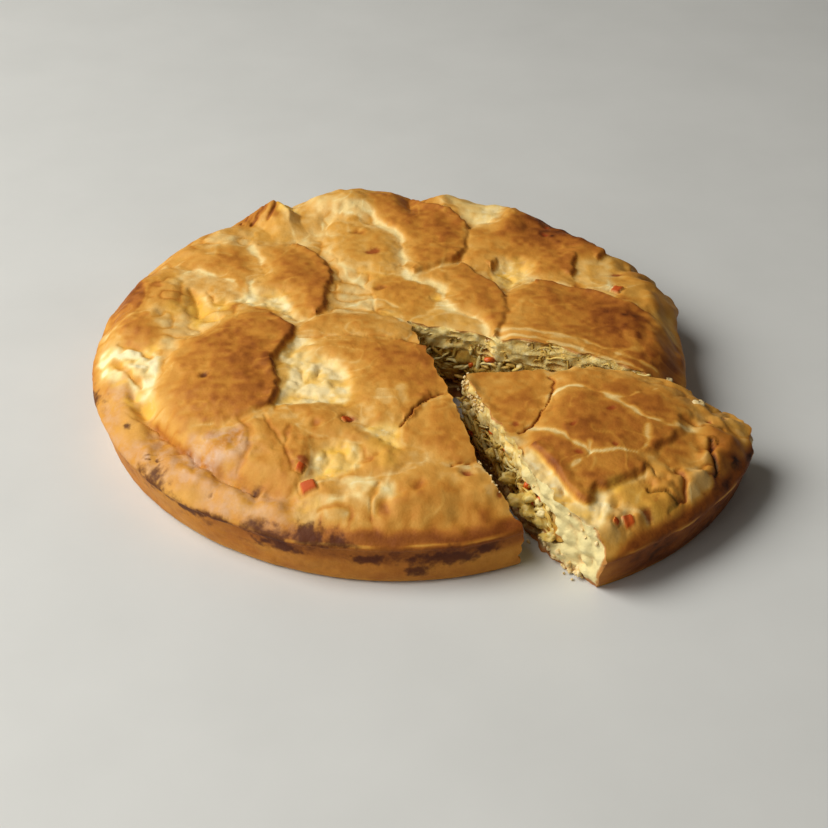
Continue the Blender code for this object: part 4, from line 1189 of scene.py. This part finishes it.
def filling_material():
    """Moist strands of chicken in soft cheese: pale yellow, paler on the strands."""
    filling = Shader("chicken_and_cheese", 0.5)
    tone = filling.sum(filling.tint("tone"), filling.sum(filling.noise(2.2, 4.0), -0.5))
    fine = filling.bump(filling.noise(0.9, 4.0, 0.6), 0.15)
    return filling.finish(filling.ramp(tone, FILLING_STOPS), fine)


def plain_food(name, stops, size, roughness, depth):
    """One mottled surface, for cheese, carrot, crumbs or the floor."""
    food = Shader(name, roughness)
    return food.finish(food.ramp(food.noise(size, 4.0), stops), food.bump(food.noise(0.7 * size), depth))


class Heap:
    """Many small closed shapes gathered into one mesh."""

    def __init__(self, name):
        self.name = name
        self.points = []
        self.faces = []
        self.tones = []
        self.count = 0

    def put(self, points, faces, tone):
        points[:, 2] = np.maximum(points[:, 2], 0.0)
        self.faces += [[corner + self.count for corner in face] for face in faces]
        self.points.append(points)
        self.tones.append(np.full(len(points), tone))
        self.count += len(points)

    def strand(self, path, radius, tone, flat=0.75):
        """A strand along a path, round or flat, and drawn to a blunt point at both ends."""
        ahead = np.gradient(path, axis=0)
        ahead = ahead / np.linalg.norm(ahead, axis=1)[:, None]
        side = np.cross(ahead, STRAND_HELPER)
        side = side / np.linalg.norm(side, axis=1)[:, None]
        third = np.cross(ahead, side)
        share = np.linspace(-1.0, 1.0, len(path))
        thick = radius * np.sqrt(np.clip(1.02 - share ** 4, 0.05, 1.0))
        angle = np.linspace(0.0, 2 * math.pi, STRAND_SIDES, endpoint=False)[None, :, None]
        rings = path[:, None, :] + thick[:, None, None] * (
            np.cos(angle) * side[:, None, :] + flat * np.sin(angle) * third[:, None, :])
        faces = tube_faces(len(path), STRAND_SIDES)
        faces[-2].reverse()
        self.put(rings.reshape(-1, 3), faces, tone)

    def lump(self, ball, middle, sizes, turn, roughness, seed, tone, about=(0.3, 0.5, 0.8)):
        """A lump of soft or crumbly food: a ball made uneven, stretched and turned."""
        points, faces = ball
        x, y, z = points.T
        uneven = 1.0 + roughness * waves(x * 1.7 + seed, y * 1.7, z * 1.7, 1, 1, seed)
        fine = 1.0 + 0.4 * roughness * waves(x * 4 + seed, y * 4, z * 4, 1, 1, seed)
        shaped = points * (uneven * fine)[:, None] * np.array(sizes)
        rotation = np.array(Matrix.Rotation(turn, 3, Vector(about)))
        self.put(shaped @ rotation.T + np.array(middle), faces, tone)

    def chunk(self, ball, rng, middle, size, roughness, seed):
        """A lump of random shape, turn and tone."""
        stretch = size * rng.uniform(0.7, 1.3, 3)
        self.lump(ball, middle, stretch, rng.uniform(0, 6), roughness, seed, rng.uniform(0.4, 1.0))

    def finish(self, material, slot):
        mesh = bpy.data.meshes.new(self.name)
        mesh.from_pydata((np.vstack(self.points) * MM).tolist(), [], self.faces)
        add_values(mesh, "tone", np.concatenate(self.tones))
        mesh.materials.append(material)
        mesh.shade_smooth()
        item = new_object(self.name, mesh)
        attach(item, "root")


def points_and_faces(builder):
    """What a mesh builder holds, as points and faces, and the end of the builder."""
    builder.verts.index_update()
    points = np.array([vert.co for vert in builder.verts])
    faces = [[vert.index for vert in face.verts] for face in builder.faces]
    builder.free()
    return points, faces


def make_ball(cuts):
    """An even ball one unit in radius."""
    builder = bmesh.new()
    bmesh.ops.create_icosphere(builder, subdivisions=cuts, radius=1.0)
    return points_and_faces(builder)


def make_block():
    """A block with rounded edges, one unit wide."""
    builder = bmesh.new()
    bmesh.ops.create_cube(builder, size=1.0)
    bmesh.ops.bevel(builder, geom=list(builder.edges), offset=0.12, segments=2, affect="EDGES")
    bmesh.ops.triangulate(builder, faces=builder.faces)
    return points_and_faces(builder)


# A random place on a cut: its number, the place, the level direction out of the food, how high
# the crust and the filling reach there, and whether the gap is narrow there
Spot = namedtuple("Spot", "number point normal top lid narrow")


def cut_spots(part, limit, rng, count, wanted=None):
    """Random places along a part's cut, within a radius, and only where wanted."""
    points = even_points(part.outline, 1.0)
    normals = outward(points) * part.side
    keep = polar(points[:, 0], points[:, 1], part)[0] < limit
    points, normals = points[keep], normals[keep]
    tops, _ = top_height(points[:, 0] - 1.5 * normals[:, 0], points[:, 1] - 1.5 * normals[:, 1], part)
    chosen = np.nonzero(wanted(points, normals))[0] if wanted else np.arange(len(points))
    for number in range(count):
        pick = chosen[rng.integers(len(chosen))]
        point, normal = points[pick], normals[pick]
        lid = filling_height(math.hypot(*(point - np.array(part.centre))))
        narrow = point[0] > NARROW_FROM_X and point[1] > NARROW_BEHIND_Y
        yield Spot(number, point, normal, tops[pick], lid, narrow)


def place_at(spot, depth, height):
    """The place so far out of a cut and so high."""
    return np.array((*(spot.point + spot.normal * depth), height))


def along_cut(spot, climb):
    """The direction along a cut that climbs by an angle."""
    x, y = spot.normal
    return np.array((-y * math.cos(climb), x * math.cos(climb), math.sin(climb)))


def scatter_strands(heap, part, count, seed):
    """Strands of chicken that lie in a cut face and hang a little out of it."""
    rng = np.random.default_rng(seed)
    share = np.linspace(-1.0, 1.0, 8)[:, None]
    for spot in cut_spots(part, FILLING_RADIUS - 6.0, rng, count):
        low, high = FLOOR_THICKNESS + 1.5, spot.lid - 1.0
        thick = rng.uniform(0.45, 1.2)
        length = rng.uniform(3.0, 10.0)
        along = along_cut(spot, rng.normal(0.0, 0.7))
        away = np.array((*spot.normal, 0.0))
        bend = rng.uniform(-1.2, 1.2)
        lift = rng.uniform(-0.9, 0.7)
        path = 0.5 * length * share * along + bend * (1 - share ** 2) * UP + lift * share ** 2 * away
        depth = rng.uniform(-2.4, -0.7 if spot.narrow else 0.2)
        start = place_at(spot, depth, rng.uniform(low, high))
        path = path + start
        path[:, 2] = np.clip(path[:, 2], low - 0.5, high + 0.3)
        # Painted shade: strands low in the cut are given a darker tone
        heap.strand(path, thick, rng.uniform(0.45, 1.05) - 0.45 * soft_step(14.0, 7.0, start[2]))


def scatter_flakes(heap, part, count, seed):
    """Thin pale flakes and shreds under the skin's edge where a cut looks to the front."""
    rng = np.random.default_rng(seed)
    share = np.linspace(-1.0, 1.0, 10)

    def faces_front(points, normals):
        return normals[:, 1] < -0.5

    for spot in cut_spots(part, FOOT_RADIUS - 3.0, rng, count, faces_front):
        hangs = spot.number % 2 == 0
        length = rng.uniform(3.0, 7.0 if hangs else 9.0)
        along = along_cut(spot, rng.normal(1.4, 0.3) if hangs else rng.normal(0.0, 0.25))
        drop = rng.uniform(5.0, 11.0) if hangs else rng.uniform(0.9, 7.0)
        start = place_at(spot, rng.uniform(-0.9, 0.2), spot.top - drop)
        path = start + 0.5 * length * share[:, None] * along
        path[:, 2] += rng.uniform(0.3, 1.0) * np.sin(3.6 * share + rng.uniform(0.0, 6.0))
        path[:, 0] += rng.uniform(0.0, 0.8) * np.sin(3.0 * share + rng.uniform(0.0, 6.0))
        heap.strand(path, rng.uniform(0.5, 1.1), rng.uniform(0.5, 1.0), 0.5)


def scatter_rubble(heap, ball, part, box, drops, count, sizes, seed):
    """Crumbs and small lumps thick along one stretch of a cut, so far under its top edge."""
    rng = np.random.default_rng(seed)
    low, high = box

    def in_box(points, normals):
        return np.all((points > low) & (points < high), axis=1)

    for spot in cut_spots(part, FOOT_RADIUS, rng, count, in_box):
        size = rng.uniform(*sizes)
        depth = rng.uniform(-0.6, 0.6 + 0.5 * size)
        height = max(spot.top - rng.uniform(*drops), size)
        heap.chunk(ball, rng, place_at(spot, depth, height), size, 0.5, spot.number + seed)


def scatter_lumps(heap, ball, part, count, sizes, seed):
    """Soft lumps set in a cut face."""
    rng = np.random.default_rng(seed)
    for spot in cut_spots(part, FILLING_RADIUS - 5.0, rng, count):
        height = rng.uniform(FLOOR_THICKNESS + 1.5, spot.lid - 0.5)
        depth = rng.uniform(-2.4, -0.8 if spot.narrow else 0.0)
        size = rng.uniform(*sizes)
        heap.chunk(ball, rng, place_at(spot, depth, height), size, 0.35, spot.number + seed)


def scatter_sticks(heap, block, part, count, seed):
    """Small cubes and sticks of carrot set in a cut face."""
    rng = np.random.default_rng(seed)
    for spot in cut_spots(part, FILLING_RADIUS - 5.0, rng, count):
        height = rng.uniform(FLOOR_THICKNESS + 2.0, spot.lid - 1.0)
        size = rng.uniform(1.6, 3.2)
        sizes = size * np.array((rng.uniform(1.0, 2.0), 0.8, 0.7))
        middle = place_at(spot, rng.uniform(-2.0, -0.8), height)
        heap.lump(block, middle, sizes, rng.uniform(0, 6), 0.12, spot.number + seed, 0.5)


def scatter_crumbs(heap, ball, part, count, seed):
    """Crumbs of batter along a cut, at its top edge, on its face and fallen at its foot."""
    rng = np.random.default_rng(seed)
    for spot in cut_spots(part, FOOT_RADIUS - 1.0, rng, count):
        kind = rng.random()
        size = rng.uniform(0.3, 0.9)
        if kind < 0.45:
            height, depth = spot.top - rng.uniform(1.0, 6.0), rng.uniform(-0.8, 0.2)
        elif kind < 0.8 or spot.narrow:
            height, depth = rng.uniform(1.0, 6.0), rng.uniform(-0.8, 0.2)
        else:
            height, depth = 0.6 * size, rng.uniform(0.5, 4.0)
        heap.chunk(ball, rng, place_at(spot, depth, height), size, 0.5, spot.number + seed)


def put_crumbs(heap, ball, part):
    """The larger crumbs on a part's top, half sunk in it."""
    for number, (x, y, width, turn) in enumerate(part.crumbs):
        height, _ = top_height(x + width * AROUND[:, 0], y + width * AROUND[:, 1], part)
        sizes = width * np.array((1.0, 0.8, 0.22))
        middle = (x, y, height.mean() - 0.08 * width)
        heap.lump(ball, middle, sizes, math.radians(turn), 0.5, number + 3, 0.5, (0.1, -0.1, 1.0))


def make_crust(name, node, part, seed, skin, cut):
    """One crust, cut to shape and hollowed for its filling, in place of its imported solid."""
    crust = crust_disc(name, part)
    column = cut_column(f"{name}_cutter", part, batter_wall, 0.0, seed)
    pocket = filling_lens(f"{name}_pocket", part, POCKET_CLEARANCE)
    for item, material in ((crust, skin), (column, cut), (pocket, cut)):
        item.data.materials.append(material)
    cut_to_part(crust, column, part)
    boolean(crust, pocket, "DIFFERENCE")
    paint_crust(crust, part)
    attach(crust, "root")
    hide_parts(node)


def make_filling(name, node, part, seed, material):
    """One filling's core, cut rough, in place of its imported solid."""
    filling = filling_lens(name, part, 0.0)
    column = cut_column(f"{name}_cutter", part, filling_wall, -part.side * FILLING_SETBACK, seed)
    for item in (filling, column):
        item.data.materials.append(material)
    cut_to_part(filling, column, part)
    x, y, z = (read_points(filling.data) / MM).T
    # Painted shade: the filling's tone is darker towards the bottom, the shade of the narrow gap between pie
    # and slice
    tone = 0.50 + 0.28 * waves(x, y, z, 3, 2, seed) - 0.35 * soft_step(14.0, 7.0, z)
    add_values(filling.data, "tone", tone)
    filling.data.shade_smooth()
    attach(filling, "root")
    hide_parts(node)


def make_bits(filling):
    """The strands, cheese, carrot and crumbs at the cuts."""
    ball, fine_ball, block = make_ball(2), make_ball(3), make_block()
    cheese = plain_food("cream_cheese", ((0.3, (224, 196, 116)), (0.7, (236, 220, 160))), 4.0, 0.45, 0.2)
    carrot = plain_food("carrot", ((0.3, (214, 84, 20)), (0.7, (232, 116, 34))), 2.0, 0.4, 0.1)
    crumb = plain_food("batter_crumb", ((0.3, (222, 186, 112)), (0.7, (240, 220, 168))), 1.6, 0.65, 0.25)

    strands = Heap("chicken_strands")
    scatter_strands(strands, PIE, 520, 71)
    scatter_strands(strands, SLICE, 600, 72)
    scatter_flakes(strands, PIE, 110, 79)
    for number, (x, y, z, size) in enumerate(SOFT_BLOBS):
        stretch = size * np.array((1.2, 0.9, 0.7))
        strands.lump(fine_ball, (x, y, z), stretch, 1.3 * number, 0.45, number + 5, 0.75)
    strands.finish(filling, "chicken_filling")

    lumps = Heap("cheese_lumps")
    scatter_lumps(lumps, fine_ball, PIE, 40, (0.8, 2.0), 73)
    scatter_lumps(lumps, fine_ball, SLICE, 36, (0.9, 2.0), 74)
    lumps.finish(cheese, "chicken_filling")

    sticks = Heap("carrot_bits")
    scatter_sticks(sticks, block, PIE, 14, 75)
    scatter_sticks(sticks, block, SLICE, 14, 76)
    sticks.lump(block, (50.6, -88.5, 20.0), (2.6, 2.0, 3.2), 0.6, 0.12, 9, 0.5)
    sticks.lump(block, (39.5, -14.5, 24.0), (4.0, 1.8, 1.8), 0.3, 0.12, 8, 0.5)
    sticks.finish(carrot, "chicken_filling")

    crumbs = Heap("batter_crumbs")
    scatter_crumbs(crumbs, ball, PIE, 150, 77)
    scatter_crumbs(crumbs, ball, SLICE, 170, 78)
    near_tip, front_foot = ((24, -58), (36, -35)), ((54, -116), (70, -99))
    gap_edge = ((28, -100), (40, -84))
    scatter_rubble(crumbs, ball, SLICE, near_tip, (0.6, 8.0), 70, (0.25, 0.7), 81)
    scatter_rubble(crumbs, ball, SLICE, front_foot, (20.0, 30.0), 34, (0.4, 1.1), 82)
    scatter_rubble(crumbs, ball, PIE, gap_edge, (0.2, 3.0), 30, (0.3, 0.8), 83)
    put_crumbs(crumbs, fine_ball, SLICE)
    put_crumbs(crumbs, fine_ball, PIE)
    crumbs.finish(crumb, "baked_crust")


def make_camera():
    """The camera, placed as the photograph's was."""
    right, up = Vector((1.0, 0.0, 0.0)), Vector((0.0, math.sin(ELEVATION), math.cos(ELEVATION)))
    back = Vector((0.0, -math.cos(ELEVATION), math.sin(ELEVATION)))
    turned_right = right * math.cos(ROLL) + up * math.sin(ROLL)
    turned_up = up * math.cos(ROLL) - right * math.sin(ROLL)
    data = bpy.data.cameras.new("camera")
    data.sensor_width = 36.0
    data.lens = FOCAL_PIXELS / PHOTO_PIXELS * data.sensor_width
    data.clip_start = 0.01
    camera = new_object("camera", data)
    matrix = Matrix((turned_right, turned_up, back)).transposed().to_4x4()
    matrix.translation = LOOK_AT + back * DISTANCE
    camera.matrix_world = matrix
    bpy.context.scene.camera = camera


def make_light(name, direction, distance, size, power):
    """A soft area light that shines on the pie from a direction."""
    data = bpy.data.lights.new(name, "AREA")
    data.shape = "DISK"
    data.size = size
    data.energy = power
    data.color = (1.0, 0.98, 0.95)
    light = new_object(name, data)
    away = Vector(direction).normalized()
    light.location = away * distance
    light.rotation_mode = "QUATERNION"
    light.rotation_quaternion = away.to_track_quat("Z", "Y")


def make_stage():
    """The pale floor, the lights and the soft light all round."""
    bpy.ops.mesh.primitive_plane_add(size=4.0, location=(0.0, 0.0, -0.0003))
    floor = bpy.context.object
    floor.name = "floor"
    ground = plain_food("pale_floor", ((0.3, (206, 207, 203)), (0.7, (211, 212, 208))), 60.0, 0.55, 0.0)
    floor.data.materials.append(ground)
    make_light("window", (-0.67, -0.06, 0.74), 1.5, 1.2, 26.5)
    make_light("room", (-0.70, -0.62, 0.36), 1.8, 1.2, 8.0)
    world = bpy.data.worlds.new("soft_room")
    world.use_nodes = True
    world.node_tree.nodes["Background"].inputs["Color"].default_value = (1.0, 0.92, 0.82, 1.0)
    world.node_tree.nodes["Background"].inputs["Strength"].default_value = 0.09
    bpy.context.scene.world = world
    bpy.context.scene.view_settings.view_transform = "Standard"


make_camera()
make_stage()
skin, cut, shreds = skin_material(), cut_material(), filling_material()
make_crust("pie_crust_baked", "pie_crust", PIE, 11, skin, cut)
make_crust("slice_crust_baked", "slice_crust", SLICE, 13, skin, cut)
make_filling("pie_filling_cut", "pie_filling", PIE, 12, shreds)
make_filling("slice_filling_cut", "slice_filling", SLICE, 14, shreds)
make_bits(shreds)
